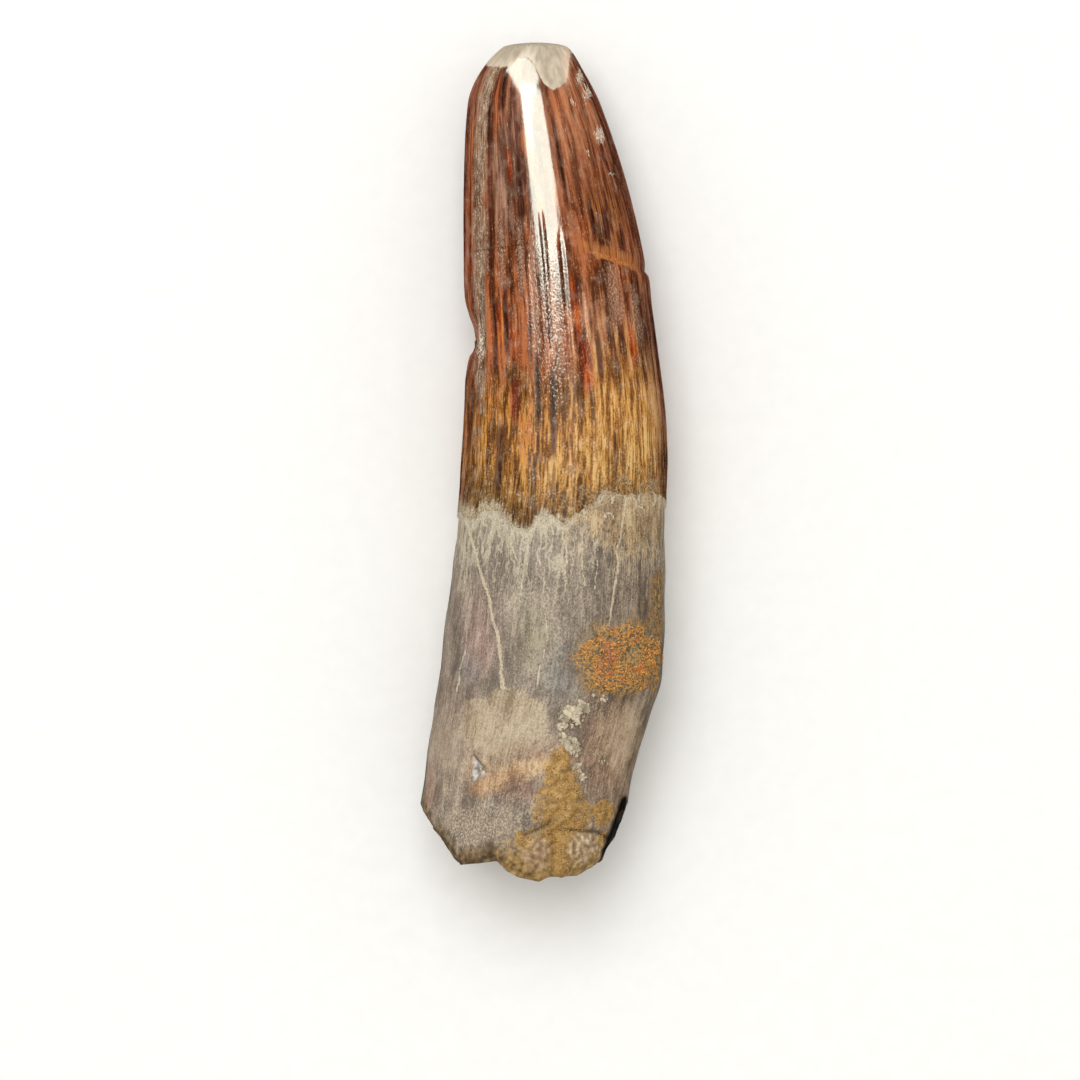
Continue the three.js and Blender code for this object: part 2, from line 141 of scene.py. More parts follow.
WORN_TIP_LINE = (  # the edge of the enamel round the worn tip: (x, along)
    (-5.8, 89.4), (-4.8, 89.1), (-3.9, 89.1), (-3.2, 89.2), (-2.4, 89.9), (-1.6, 90.2), (-1.0, 89.9),
    (-0.6, 89.3), (-0.2, 88.4), (0.3, 87.3), (0.9, 86.8), (1.4, 86.5), (2.1, 86.8), (2.9, 87.4),
    (3.15, 88.9), (3.3, 91.1),
)
WORN_TIP_BELOW = 90.4  # the same edge on the underside
CHIP_DEPTH = 0.3
CHIPS = (  # flakes lost from the enamel: x, along, half width, half length
    (4.3, 88.3, 0.4, 0.9), (5.2, 86.2, 0.45, 1.0), (3.6, 85.1, 0.35, 0.5), (6.6, 81.7, 0.5, 1.1),
    (5.3, 79.4, 0.22, 0.4), (7.9, 77.3, 0.3, 0.4), (-6.6, 58.8, 0.5, 1.8),
)
STREAK_FADE = 1.5
DARK_STREAKS = (  # x, along of both ends, half width
    (1.5, 46.2, 56.4, 0.42), (6.5, 54.2, 59.8, 0.35), (8.1, 46.1, 49.0, 0.2), (-4.4, 42.3, 50.0, 0.6),
    (-5.6, 66.0, 90.0, 0.16), (5.7, 70.2, 74.2, 0.35), (7.2, 70.0, 73.6, 0.4), (9.0, 68.4, 71.6, 0.35),
    (-2.4, 72.0, 87.0, 0.25), (-4.9, 55.0, 64.0, 0.3), (2.2, 73.0, 84.0, 0.2), (0.75, 58.0, 71.0, 0.42),
    (-4.1, 84.0, 90.5, 0.4), (-0.2, 50.0, 56.0, 0.3), (-6.3, 58.0, 68.0, 0.35), (-3.7, 57.0, 66.0, 0.3),
)
RUST_STREAKS = (  # the same for the reddest places
    (-4.4, 58.6, 62.6, 0.5), (-3.4, 75.8, 80.0, 0.45), (5.0, 53.0, 59.0, 0.8), (10.1, 56.0, 60.5, 0.5),
    (-7.1, 53.0, 57.5, 0.4), (-2.6, 50.0, 55.0, 0.6), (3.9, 58.0, 66.0, 0.4), (-7.5, 60.0, 84.0, 0.3),
)
PAINTED_SHEEN_STREAKS = (  # the same where grey sheen is painted along the flutes
    (-4.2, 64.5, 72.0, 0.35), (-2.1, 63.5, 72.0, 0.4), (-0.5, 57.0, 70.0, 0.4), (8.1, 61.0, 67.5, 0.8),
    (1.9, 55.0, 62.0, 0.4), (-5.9, 66.5, 73.0, 0.3), (10.6, 58.5, 65.0, 0.4),
)
STREAKS = {"dark_streaks": DARK_STREAKS, "rust_streaks": RUST_STREAKS, "painted_sheen_streaks": PAINTED_SHEEN_STREAKS}
WORN_GROOVE_DEPTH = 0.065
WORN_GROOVES = (  # the same for the last of the flutes that wear has left, which part the shine into bands
    (0.75, 58.0, 73.0, 0.3), (2.9, 55.0, 70.0, 0.3),
)
PALE_LINES = (  # crazing of the root that silt has filled: runs of (x, along) points, and the width of each
    (((-8.0, 39.5), (-7.2, 36.7), (-6.6, 34.6), (-6.0, 32.4), (-5.4, 30.4), (-4.8, 27.4), (-4.4, 25.4),
      (-4.0, 21.1)), 0.14),
    (((9.3, 41.5), (8.7, 37.7), (8.4, 34.8), (7.9, 30.1), (7.7, 28.5), (7.3, 27.7)), 0.1),
    (((1.2, 39.7), (1.3, 35.9), (0.3, 33.0), (0.3, 30.5), (0.9, 26.5), (0.1, 23.5), (-0.4, 21.1)), 0.07),
    (((2.5, 38.6), (3.0, 34.8), (2.7, 31.7)), 0.08),
    (((4.7, 37.1), (4.7, 32.1)), 0.07),
    (((6.2, 35.2), (5.8, 31.7)), 0.07),
    (((-1.5, 35.4), (-2.5, 30.3)), 0.07),
    (((-0.5, 36.5), (0.1, 34.3)), 0.05),
    (((-0.6, 32.1), (-1.8, 29.8)), 0.05),
    (((-3.2, 37.4), (-2.4, 34.6), (-2.6, 32.6)), 0.06),
    (((-7.9, 25.3), (-8.5, 23.4), (-9.1, 20.7)), 0.06),
    (((-5.5, 22.2), (-6.4, 19.6)), 0.05),
)
SCALLOP_WIDTH = 0.2
SCALLOPS = (  # pale arcs where the enamel runs out on the right: x and along of the middle, and radius
    (4.3, 40.0, 0.55), (5.75, 41.0, 0.8), (7.2, 41.5, 0.6), (8.6, 41.2, 0.9), (9.9, 41.2, 0.65),
    (11.8, 41.7, 0.9), (10.8, 40.2, 0.6), (13.0, 41.0, 0.6), (7.4, 39.6, 0.5),
)
# Stains and weathered places, and places of painted sheen and of the crumbs' painted shadow. Their names are
# those of the tints that are laid on them.
PATCHES = {  # name: x, along, half width, half length
    "lens": (-3.7, 17.0, 5.2, 4.5), "right_lens": (8.6, 16.0, 2.7, 4.0), "purple": (-2.6, 10.3, 3.6, 1.7),
    "speckle": (-7.0, 6.0, 6.4, 3.8), "blush": (0.5, 13.6, 4.8, 2.2), "gold": (1.4, 44.2, 0.9, 2.6),
    "rosy": (-6.6, 26.5, 2.6, 6.5), "olive": (-0.8, 26.4, 3.2, 5.0), "red": (7.3, 24.5, 1.2, 2.0),
    "slate": (2.2, 23.0, 3.2, 4.0), "left_slate": (-7.6, 23.2, 1.6, 2.8), "mauve": (0.0, 34.5, 9.0, 3.6),
    # The second patch on the next line is painted shadow round and under the silt crumbs.
    "scallops": (10.2, 40.2, 6.4, 4.0), "painted_crumb_shadow": (3.4, 16.4, 1.8, 2.8), "tawny": (-9.6, 15.0, 4.0, 7.0),
    "sallow": (-6.0, 12.4, 2.8, 2.2), "lilac": (4.6, 3.8, 2.0, 2.0), "left_lilac": (-0.4, 3.1, 1.6, 1.8),
    "bald": (10.2, 24.7, 1.0, 1.1), "ruddy": (3.6, 81.5, 3.4, 9.0), "dusky": (7.0, 72.2, 2.6, 5.0),
    "flush": (-12.3, 10.0, 0.9, 3.8), "drab": (12.6, 59.0, 2.8, 9.5), "warm": (7.5, 14.0, 5.5, 8.5),
    # The first two patches on the next line are painted sheen on the crown.
    "sheen": (-3.6, 77.5, 2.1, 9.0), "painted_sheen_veil": (6.6, 60.5, 3.4, 6.0), "amber": (9.6, 46.0, 5.5, 9.0),
    "rust_haze": (11.2, 26.0, 3.0, 6.0),
}
GLINT_LINE = ((0.2, 76.0), (1.2, 64.0), (1.5, 46.0))  # where pale flecks are painted as glints on the enamel
GLINT_PATCH = (9.6, 45.3, 1.4, 0.8)
LENS_FOOT, LENS_CLEAR = 12.2, 15.5  # the lens-shaped stain fades in between these
TAN_BAND = ((-6.6, 10.2), (-4.0, 11.6), (-1.7, 12.4), (0.2, 12.8))
TAN_BAND_WIDTH = 1.2
HAIRLINE_ALONG, HAIRLINE_RISE = 69.5, 0.1  # a fine crack across the left of the crown
SAND_SPOTS = (  # x, along, half width, half length
    (2.2, 3.4, 1.0, 3.9), (7.0, 7.4, 1.4, 1.3), (7.0, 4.3, 0.8, 1.4), (-1.7, 4.6, 1.0, 0.8),
)
IRON_STRIP = ((13.3, 32.5), (13.5, 27.0), (13.2, 21.5))
CRUMBS = (  # x, along, spread, number and size of the grains of silt in each cluster
    (2.7, 18.4, 0.55, 34, 0.24), (3.6, 18.0, 0.7, 44, 0.26), (4.6, 19.0, 0.5, 34, 0.24),
    (3.4, 18.8, 0.4, 20, 0.24), (2.3, 17.0, 0.4, 20, 0.2), (2.6, 15.7, 0.5, 27, 0.22),
    (3.4, 15.0, 0.7, 41, 0.26), (4.0, 14.8, 0.3, 14, 0.2), (1.3, 14.5, 0.12, 3, 0.18),
    (5.7, 20.5, 0.1, 2, 0.2), (6.8, 19.95, 0.35, 12, 0.16), (4.1, 12.3, 0.3, 15, 0.2),
    (4.5, 11.5, 0.25, 12, 0.2), (6.4, 14.0, 0.6, 24, 0.08), (7.0, 13.1, 0.6, 17, 0.08),
    (-6.3, 12.4, 0.1, 3, 0.12),
)

# ---- How the skin is laid out: more rows where there is more to show ----

ROWS = 228
ROW_SPACING = ((0, 0.18), (10, 0.26), (22, 0.4), (36, 0.42), (38.5, 0.22), (43.5, 0.24), (47, 0.5), (92, 0.6))
COLUMNS_ON_TOP = 280
COLUMNS_BELOW = 96
RINGS_AT_BREAK = 26
RINGS_AT_TIP = 10
LANE_RADIUS = 11.0  # of a cylinder about as wide as the crown, on which the striae are drawn

# ---- The stage, in metres ----

WIDEST_LEVEL = 0.009  # the height at which the tooth is widest
VIEW_ALONG = 37.18  # the place along the tooth under the middle of the view, in mm
SENSOR_WIDTH = 36.0  # in mm
ROOM_LIGHT = 0.74
LAMPS = (  # name, place, turn in degrees, size, power, colour, and whether it lights or is only mirrored
    ("window", (-0.14, 0.32, 0.85), 0, (0.6, 0.6), 4.2, "#ffffff", True),
    ("strip light over the root end", (-0.07, 0.25, 0.757), 0, (0.26, 0.1), 0.25, "#f7faee", False),
    ("strip light over the crown", (-0.05, 0.405, 0.69), -14, (0.27, 0.3), 3.95, "#f8faea", False),
    ("strip light over the tip", (-0.175, 0.613, 0.487), 32, (0.265, 0.52), 6.7, "#f8faea", False),
)


# ---- Curves, waves and noise ----

def smooth_curve(knots, at):
    """Values along a smooth curve through (place, value) knots: a cubic between neighbours, whose slope at
    a knot is that of the line between the knots on both sides of it."""
    place, value = np.array(knots, float).T
    order = np.arange(len(place))
    before, after = np.maximum(order - 1, 0), np.minimum(order + 1, len(place) - 1)
    slope = (value[after] - value[before]) / (place[after] - place[before])
    i = np.clip(np.searchsorted(place, at, side="right") - 1, 0, len(place) - 2)
    span = place[i + 1] - place[i]
    t = (at - place[i]) / span
    ease = t * t * (3 - 2 * t)
    bend = span * t * (1 - t) * (slope[i] * (1 - t) - slope[i + 1] * t)
    return value[i] + (value[i + 1] - value[i]) * ease + bend


def straight_runs(knots, at):
    """Values on straight runs between (place, value) knots, level beyond the ends."""
    place, value = np.array(knots, float).T
    return np.interp(at, place, value)


def smooth_step(value, low, high):
    """0 below low and 1 above high, with an S-shaped rise between."""
    t = np.clip((value - low) / (high - low), 0, 1)
    return t * t * (3 - 2 * t)


def plateau(value, foot, top, top_end, foot_end):
    """0 up to the first foot, 1 on the top and 0 again past the last foot, with S-shaped slopes between."""
    return smooth_step(value, foot, top) * (1 - smooth_step(value, top_end, foot_end))


def swell(distance, width):
    """1 where the distance is 0, falling off as a bell curve of the given width."""
    return np.exp(-(distance / width) ** 2)


def unevenness(a, b, wave_length):
    """Rolling waves from -1 to 1 over a plane: three sines that cross each other, of about one length."""
    k = 2 * math.pi / wave_length
    first = np.sin(k * a + 1.3 * np.sin(0.7 * k * b))
    second = np.sin(k * (0.6 * b - 0.8 * a) + 2.1)
    third = np.sin(1.7 * k * b + 0.9 * np.sin(k * a))
    return (first + second + third) / 3


def grain(points, size, seed):
    """Noise from -1 to 1: every corner of a lattice of cells of the given size (one number, or one for each
    axis) has a random value, and a point's value is blended smoothly from the corners of its cell."""
    place = np.asarray(points, float) / size
    cell = np.floor(place).astype(np.int64)
    inside = place - cell
    blend = inside * inside * (3 - 2 * inside)
    total = np.zeros(place.shape[:-1])
    for corner in range(8):
        step = np.array([corner & 1, corner >> 1 & 1, corner >> 2 & 1])
        x, y, z = np.moveaxis(cell + step, -1, 0)
        mixed = (x * 374761393 + y * 668265263 + z * 1440662683 + seed * 1274126177) & 0xFFFFFFFF
        mixed = ((mixed ^ (mixed >> 13)) * 1103515245) & 0xFFFFFFFF
        value = ((mixed ^ (mixed >> 16)) & 0xFFFF) / 32767.5 - 1
        total += value * np.prod(np.where(step == 1, blend, 1 - blend), axis=-1)
    return total


def distance_to_path(x, along, path):
    """Distance on the plan to the nearest point of the straight runs between the path's points."""
    nearest = np.full(np.shape(x), np.inf)
    for (ax, ay), (bx, by) in zip(path, path[1:]):
        dx, dy = bx - ax, by - ay
        t = np.clip(((x - ax) * dx + (along - ay) * dy) / (dx * dx + dy * dy), 0, 1)
        nearest = np.minimum(nearest, np.hypot(x - ax - t * dx, along - ay - t * dy))
    return nearest


def inside_corners(x, along, corners):
    """How far a place lies inside the nearest side of a convex outline given clockwise, below 0 outside."""
    least = np.full(np.shape(x), np.inf)
    for (ax, ay), (bx, by) in zip(corners, corners[1:] + corners[:1]):
        side = ((by - ay) * (x - ax) - (bx - ax) * (along - ay)) / math.hypot(bx - ax, by - ay)
        least = np.minimum(least, side)
    return least


# ---- The tooth's skin ----

def edges(along):
    """The middle and the half width of the tooth at each place along it."""
    left, right = smooth_curve(LEFT_EDGE, along), smooth_curve(RIGHT_EDGE, along)
    return (right + left) / 2, (right - left) / 2


def body(angle, along):
    """The plain tooth: each cross section is a superellipse between the two edges, the crest and the belly.
    Returns x, z and the outward direction in the section, which is the superellipse's gradient."""
    middle, half_width = edges(along)
    top, low = smooth_curve(CREST, along), smooth_curve(BELLY, along)
    half_height = (top - low) / 2
    across, up = np.cos(angle), np.sin(angle)
    across = np.sign(across) * np.abs(across) ** (2 / SECTION_POWER)
    up = np.sign(up) * np.abs(up) ** (2 / SECTION_POWER)
    out_x = np.sign(across) * np.abs(across) ** (SECTION_POWER - 1) / half_width
    out_z = np.sign(up) * np.abs(up) ** (SECTION_POWER - 1) / half_height
    size = np.hypot(out_x, out_z)
    return middle + half_width * across, (top + low) / 2 + half_height * up, out_x / size, out_z / size


def root_break(x, z):
    """How far along the broken face lies at x and z: the outline seen from above, leaning back below."""
    down = np.clip(1 - z / BREAK_LEAN_TOP, 0, 1)
    return straight_runs(ROOT_BREAK, x) + UNDERSIDE_SETBACK * down + 0.25 * down * unevenness(x, z, 5)


def column_lines(angle):
    """Where each column of the skin starts at the break and where it crosses the ragged enamel edge."""
    rim = np.full(angle.shape, 3.0)
    for _ in range(5):
        x, z, _, _ = body(angle, rim)
        rim = root_break(x, z)
    x, z, _, out_z = body(angle, np.full(angle.shape, ENAMEL_EDGE))
    below = ENAMEL_EDGE_BELOW + 0.9 * unevenness(x, 3, 6)
    share = smooth_step(out_z, -0.3, 0.3)
    place = np.stack([x, z, np.zeros_like(x)], -1)
    ragged = 0.28 * grain(place, 0.9, 11) + 0.16 * grain(place, 0.35, 12)
    return rim, below + (straight_runs(ENAMEL_LINE, x) - below) * share + ragged


def lanes(angle, along):
    """Places on a cylinder round the tooth's length, so that what runs lengthwise meets at the tip."""
    return np.stack([LANE_RADIUS * np.cos(angle), LANE_RADIUS * np.sin(angle), along], -1)


def fluting(angle, above_enamel, along):
    """Broad flutes of a fixed count with finer striae between them, both as cosines of the angle, whose
    phase and depth wander a little and which wear away towards the tip. Returns both waves and the relief."""
    flutes = np.where(np.sin(angle) >= 0, FLUTES_ON_TOP, FLUTES_BELOW)
    wear = 1 - FLUTE_WEAR * smooth_step(along, FLUTE_WEAR_START, FLUTE_WEAR_END)
    lane = lanes(angle, along)
    steady = np.sin(angle) ** 2
    groove = 0.5 - 0.5 * np.cos(2 * flutes * angle + steady * (math.pi + 1.1 * grain(lane, (3, 3, 16), 21)))
    stria = np.cos(2 * STRIAE_PER_FLUTE * flutes * angle + 2.2 * steady * grain(lane, (2.2, 2.2, 9), 22))
    stria *= 0.75 + 0.5 * grain(lane, (1.6, 1.6, 6), 23)
    run_out = (1 - smooth_step(along, CROWN_RELIEF_END, TIP_RIM)) * wear
    flute_fade = smooth_step(above_enamel, 0, FLUTE_RISE) * run_out
    stria_fade = smooth_step(above_enamel, -0.2, 1.0) * run_out
    return groove, stria, -FLUTE_DEPTH * groove * flute_fade + STRIA_DEPTH * stria * stria_fade


def keels(angle, above_enamel, along):
    """The two cutting edges: bell-shaped ridges along the flanks of the crown."""
    fade = smooth_step(above_enamel, KEEL_START, KEEL_END)
    fade *= 1 - smooth_step(along, CROWN_RELIEF_END, TIP_RIM)
    ridge = sum(swell(np.arctan2(np.sin(angle - at), np.cos(angle - at)), KEEL_WIDTH) for at in KEEL_ANGLES)
    return KEEL_HEIGHT * ridge * fade


def crack_distance(x, along):
    """How far along the tooth a place lies above the crack that crosses the right flank of the crown."""
    return along - CRACK_ALONG + CRACK_FALL * (x - CRACK_FROM)


def crown_damage(angle, x, along):
    """The notch in the left edge, the crack across the right flank and the flaked places, cut inwards."""
    notch = swell(angle - NOTCH_ANGLE, NOTCH_SPREAD) * swell(along - NOTCH_ALONG, NOTCH_HALF_LENGTH)
    rough = 1 + 0.25 * grain(np.stack([angle * 8, along, x * 0], -1), 0.7, 31)
    off_crack = crack_distance(x, along)
    crack = smooth_step(x, CRACK_FROM - 1, CRACK_FROM + 2) * swell(off_crack, CRACK_WIDTH)
    proud = smooth_step(-off_crack, 0, 0.4) * smooth_step(off_crack, -CRACK_STEP_LENGTH, 0)
    proud *= smooth_step(x, CRACK_FROM, CRACK_FROM + 2)
    chips = np.clip(1 - chip_reach(x, along), 0, 0.5) * (np.sin(angle) > 0)
    return CRACK_STEP * proud - NOTCH_DEPTH * notch * rough - CRACK_DEPTH * crack - CHIP_DEPTH * chips


def patch_reach(x, along, patch):
    """0 in the middle of an oval patch and 1 at its outline, which waves make uneven."""
    at_x, at_along, half_width, half_length = patch
    reach = np.hypot((x - at_x) / half_width, (along - at_along) / half_length)
    return reach + 0.08 * unevenness(x, along, 3.4)


def chip_reach(x, along):
    """Below 1 in the places where the enamel has flaked."""
    return np.min([patch_reach(x, along, chip) for chip in CHIPS], axis=0)


def crust_reach(x, along):
    """Below 1 on the iron crust."""
    return patch_reach(x, along, (CRUST_X, CRUST_ALONG, CRUST_HALF_WIDTH, CRUST_HALF_LENGTH))


def sandstone_reach(x, along):
    """0 on the middle line of the sandstone patch and 1 at its outline, which widens towards the break."""
    t = np.clip((SANDSTONE_TOP[1] - along) / (SANDSTONE_TOP[1] - SANDSTONE_FOOT[1]), 0, 1)
    radius = SANDSTONE_TOP_RADIUS + (SANDSTONE_FOOT_RADIUS - SANDSTONE_TOP_RADIUS) * t
    return distance_to_path(x, along, (SANDSTONE_TOP, SANDSTONE_FOOT)) / radius


def fill_reach(x, along):
    """Below 1 on the sandy filling of the pulp cavity, which shows at the break."""
    return np.hypot((x - FILL_X) / FILL_HALF_WIDTH, (along - FILL_ALONG) / FILL_HALF_LENGTH)


def grooves(x, along):
    """How deep the cracks at the break are, in millimetres."""
    return sum(depth * swell(distance_to_path(x, along, path), width) for path, depth, width in GROOVES)


def upper_face_relief(x, along):
    """What lies on the upper face of the root or cuts into it: crust, sandstone, lumps, pit and grooves."""
    pit = PIT_DEPTH * smooth_step(inside_corners(x, along, PIT_CORNERS), -0.1, 0.35)
    crust = (1 - smooth_step(crust_reach(x, along), 0.85, 1.05)) * (0.8 + 0.3 * unevenness(x, along, 2.2))
    sandstone = 1 - smooth_step(sandstone_reach(x, along), 0.3, 1.2)
    sandstone *= 0.8 + 0.4 * unevenness(x, along, 1.9)
    fill = 1 - smooth_step(fill_reach(x, along), 0.75, 1.25)
    relief = CRUST_HEIGHT * crust + SANDSTONE_HEIGHT * sandstone - pit - FILL_SINK * fill - grooves(x, along)
    for at_x, at_along, width, height in LUMPS:
        relief += height * swell(np.hypot(x - at_x, along - at_along), width)
    return relief


def sand_depth(x, along):
    """Above 0 on the golden sandstone and its spots, and below 0 beside them: 1 minus the nearest reach."""
    spots = [patch_reach(x, along, spot) for spot in SAND_SPOTS]
    return 1 - np.min([sandstone_reach(x, along), *spots], axis=0)


def sandiness(x, along):
    """1 on the sandstone and on the filling of the pulp cavity, falling to 0 round them."""
    return smooth_step(np.maximum(1 - fill_reach(x, along), sand_depth(x, along)), -0.25, 0.4)


def fine_relief(angle, x, along, z, above_enamel, near_break):
    """The small unevenness of each surface: wrinkled enamel, fibrous root and gritty sandstone, all noise."""
    place = np.stack([x, along, z], -1)
    lane = lanes(angle, along)
    upper = np.sin(angle) > 0.2
    root = 1 - smooth_step(above_enamel, -0.3, 0)
    sandy = np.maximum(sandiness(x, along) * upper, near_break)
    wrinkles = 0.008 * grain(lane, (0.35, 0.35, 0.9), 41) * (1 - root) * (1 - smooth_step(along, 55, 80))
    seams = -WORN_GROOVE_DEPTH * np.maximum(streaks(x, along, WORN_GROOVES), 0) * upper
    fibres = root * (0.05 * grain(lane, (0.5, 0.5, 4.5), 42) + 0.03 * grain(lane, (0.25, 0.25, 1.6), 43))
    grit = sandy * (0.12 * grain(place, 0.8, 44) + 0.09 * grain(place, 0.4, 45))
    crust = (1 - smooth_step(crust_reach(x, along), 0.8, 1.0)) * upper * 0.07 * grain(place, 0.35, 46)
    return wrinkles + seams + fibres + grit + crust


def skin(angle, along, rim, enamel):
    """The finished flank: the plain body moved outwards by all of its relief, cut by the worn facets and
    flattened where it rests. Returns the points, the flutes' wave and the striae's wave."""
    x, z, out_x, out_z = body(angle, along)
    above_enamel = along - enamel
    near_break = 1 - smooth_step(along - rim, 0, BEVEL_WIDTH)
    root = 1 - smooth_step(above_enamel, -3, 0)
    groove, stria, flutes = fluting(angle, above_enamel, along)
    relief = (
        ENAMEL_THICKNESS * smooth_step(above_enamel, -LEDGE_WIDTH / 2, LEDGE_WIDTH / 2)
        + root * 0.12 * unevenness(1.6 * x, along, 11)
        + smooth_step(out_z, 0.05, 0.35) * upper_face_relief(x, along)
        + flutes + keels(angle, above_enamel, along) + crown_damage(angle, x, along)
        + fine_relief(angle, x, along, z, above_enamel, near_break) - BEVEL_DEPTH * near_break
    )
    skin_x, skin_z = x + out_x * relief, z + out_z * relief
    for at_x, at_along, at_z, fall_to_tip, fall_right in WEAR_FACETS:
        face = at_z - fall_to_tip * (along - at_along) - fall_right * (skin_x - at_x)
        face = np.maximum(face, z - FACET_DEPTH)
        skin_z = np.where(out_z > 0, np.minimum(skin_z, face), skin_z)
    crevice = swell(distance_to_path(x, along, CREVICE), CREVICE_WIDTH)
    skin_z = skin_z - CREVICE_DEPTH * crevice * smooth_step(out_z, 0.2, 0.5)
    return np.stack([skin_x, along, np.maximum(skin_z, 0)], -1), groove, stria


def column_angles():
    """Angles round the tooth from the right edge over the top, closer together on the upper face."""
    return np.concatenate([
        np.pi * np.arange(COLUMNS_ON_TOP) / COLUMNS_ON_TOP,
        np.pi * (1 + np.arange(COLUMNS_BELOW) / COLUMNS_BELOW),
    ])


def row_stations():
    """Rows from the break to the tip: equal steps of the sum of one over the wanted spacing."""
    fine = np.linspace(0, TIP_RIM, 4000)
    density = 1 / np.interp(fine, *np.array(ROW_SPACING).T)
    passed = np.concatenate([[0], np.cumsum((density[1:] + density[:-1]) / 2)])
    return np.interp(np.linspace(0, passed[-1], ROWS), passed, fine)


def row_places(station, rim, enamel):
    """Rows are level, except that the first follow the break and the middle ones the enamel edge."""
    to_break = np.clip(1 - station / 20, 0, 1)
    to_enamel = np.clip(1 - np.abs(station - ENAMEL_EDGE) / 12, 0, 1)
    return station + rim * to_break + (enamel - ENAMEL_EDGE) * to_enamel


def towards_middle(rim, count):
    """Shares of the way from a rim to its middle, as a column, and the x and z of the rings there."""
    inwards = (np.arange(1, count + 1) / count)[:, None]
    middle = rim.mean(0)
    x = rim[:, 0] + (middle[0] - rim[:, 0]) * inwards
    z = rim[:, 2] + (middle[2] - rim[:, 2]) * inwards
    return inwards, x, z


def break_rings(rim):
    """The broken face: rings from the flank's first row to its middle, over the leaning face, with a wall
    of root about 3 mm thick, a gap and a sandy core, all roughened by noise."""
    inwards, x, z = towards_middle(rim, RINGS_AT_BREAK)
    off_rim = smooth_step(inwards, 0, BREAK_RIM_SHARE)
    gap = GAP_DEPTH * swell(inwards - GAP_INWARDS, GAP_WIDTH)
    core = smooth_step(inwards, CORE_START, CORE_END) * (CORE_DEPTH + 0.35 * unevenness(x, z, 6))
    place = np.stack([x, z, x * 0], -1)
    rough = 0.2 * unevenness(x, z, 4.1) + 0.22 * grain(place, 1.1, 51) + 0.14 * grain(place, 0.5, 52)
    along = rim[:, 1] + (root_break(x, z) - rim[:, 1]) * off_rim + gap - core + off_rim * rough
    return np.stack([x, along, z], -1)


def tip_rings(rim):
    """The worn tip: a low dome from the flank's last row, a quarter circle from the rim to the middle."""
    inwards, x, z = towards_middle(rim, RINGS_AT_TIP)
    along = rim[:, 1] + (LENGTH - rim[:, 1]) * np.sqrt(1 - (1 - inwards) ** 2)
    return np.stack([x, along, z], -1)


@functools.lru_cache(maxsize=1)
def flank_grid():
    """The skin between the break and the tip as a grid of rows and columns: its angles, its places along
    the tooth, the break and the enamel edge of each column, its points and both waves of the fluting."""
    angle = column_angles()
    rim, enamel = column_lines(angle)
    along = row_places(row_stations()[:, None], rim, enamel)
    around = np.broadcast_to(angle, along.shape)
    points, groove, stria = skin(around, along, rim, enamel)
    return around, along, rim, enamel, points, groove, stria


def upper_points(random):
    """The upper face of the tooth as a list of points and outward normals, for what is scattered on it.
    Each point is moved at random within its cell of the grid, so that what lies there forms no rows."""
    around, _, _, _, points, _, _ = flank_grid()
    onwards, sidewards = np.gradient(points, axis=0), np.gradient(points, axis=1)
    normals = np.cross(onwards, sidewards)
    normals /= np.linalg.norm(normals, axis=-1, keepdims=True)
    moved = points + onwards * random.uniform(-0.5, 0.5, around.shape + (1,))
    moved += sidewards * random.uniform(-0.5, 0.5, around.shape + (1,))
    upper = (np.sin(around) > 0.15)[1:-1]
    return moved[1:-1][upper], normals[1:-1][upper]


def to_frame(points):
    """From the tooth's millimetres to the frame's metres: the same middle across, and the same tip, as the
    CAD tooth, and the same table under both."""
    across = flank_grid()[4][..., 0]
    placed = np.array(points, float) - ((across.min() + across.max()) / 2, LENGTH, 0)
    return placed * MM + ((TOOTH_LOW[0] + TOOTH_HIGH[0]) / 2, TOOTH_HIGH[1], 0)


# ---- The markings, as values at the skin's points ----

def worn_tip(angle, x, along):
    """How far a place lies beyond the edge of the enamel at the worn tip, in millimetres: the edge follows
    its line on the upper face, and is nearly level on the underside. Noise makes it ragged."""
    place = lanes(angle, along)
    line = straight_runs(WORN_TIP_LINE, x)
    upper = smooth_step(np.sin(angle), -0.3, 0.35)
    edge = WORN_TIP_BELOW + 0.5 * grain(place, 1.6, 61)
    return along - edge - (line - edge) * upper + 0.14 * grain(place, 0.5, 64)


def sunk(value):
    """A value from 0 to 1, lowered to -1 where it is 0, so that no noise can raise it far from its place."""
    return value - 1 + smooth_step(value, 0, 0.3)


def streaks(x, along, table):
    """Stains of the crown as bands that keep their share of the width, as the striae do, with soft ends."""
    middle, half = edges(along)
    most = np.zeros(x.shape)
    for at_x, start, end, half_width in table:
        at_middle, at_half = edges((start + end) / 2)
        off = ((x - middle) / half - (at_x - at_middle) / at_half) * half
        fade = plateau(along, start - STREAK_FADE, start + STREAK_FADE, end - STREAK_FADE, end + STREAK_FADE)
        most = np.maximum(most, swell(off, half_width) * fade)
    return sunk(most)


def pale_lines(x, along):
    """How far a place lies inside a silted line, over the line's width: 1 on it and 0 or less beside it. The
    lines wander a little, by noise."""
    place = np.stack([x, along, x * 0], -1)
    x = x + 0.22 * grain(place, (1.2, 1.8, 1), 62) + 0.08 * grain(place, (0.4, 0.6, 1), 63)
    runs = [1 - distance_to_path(x, along, path) / (2 * width) for path, width in PALE_LINES]
    arcs = [
        1 - np.abs(np.hypot(x - at_x, along - at) - radius) / SCALLOP_WIDTH - 3 * (along < at - 0.4 * radius)
        for at_x, at, radius in SCALLOPS
    ]
    return np.max(runs + arcs, axis=0)


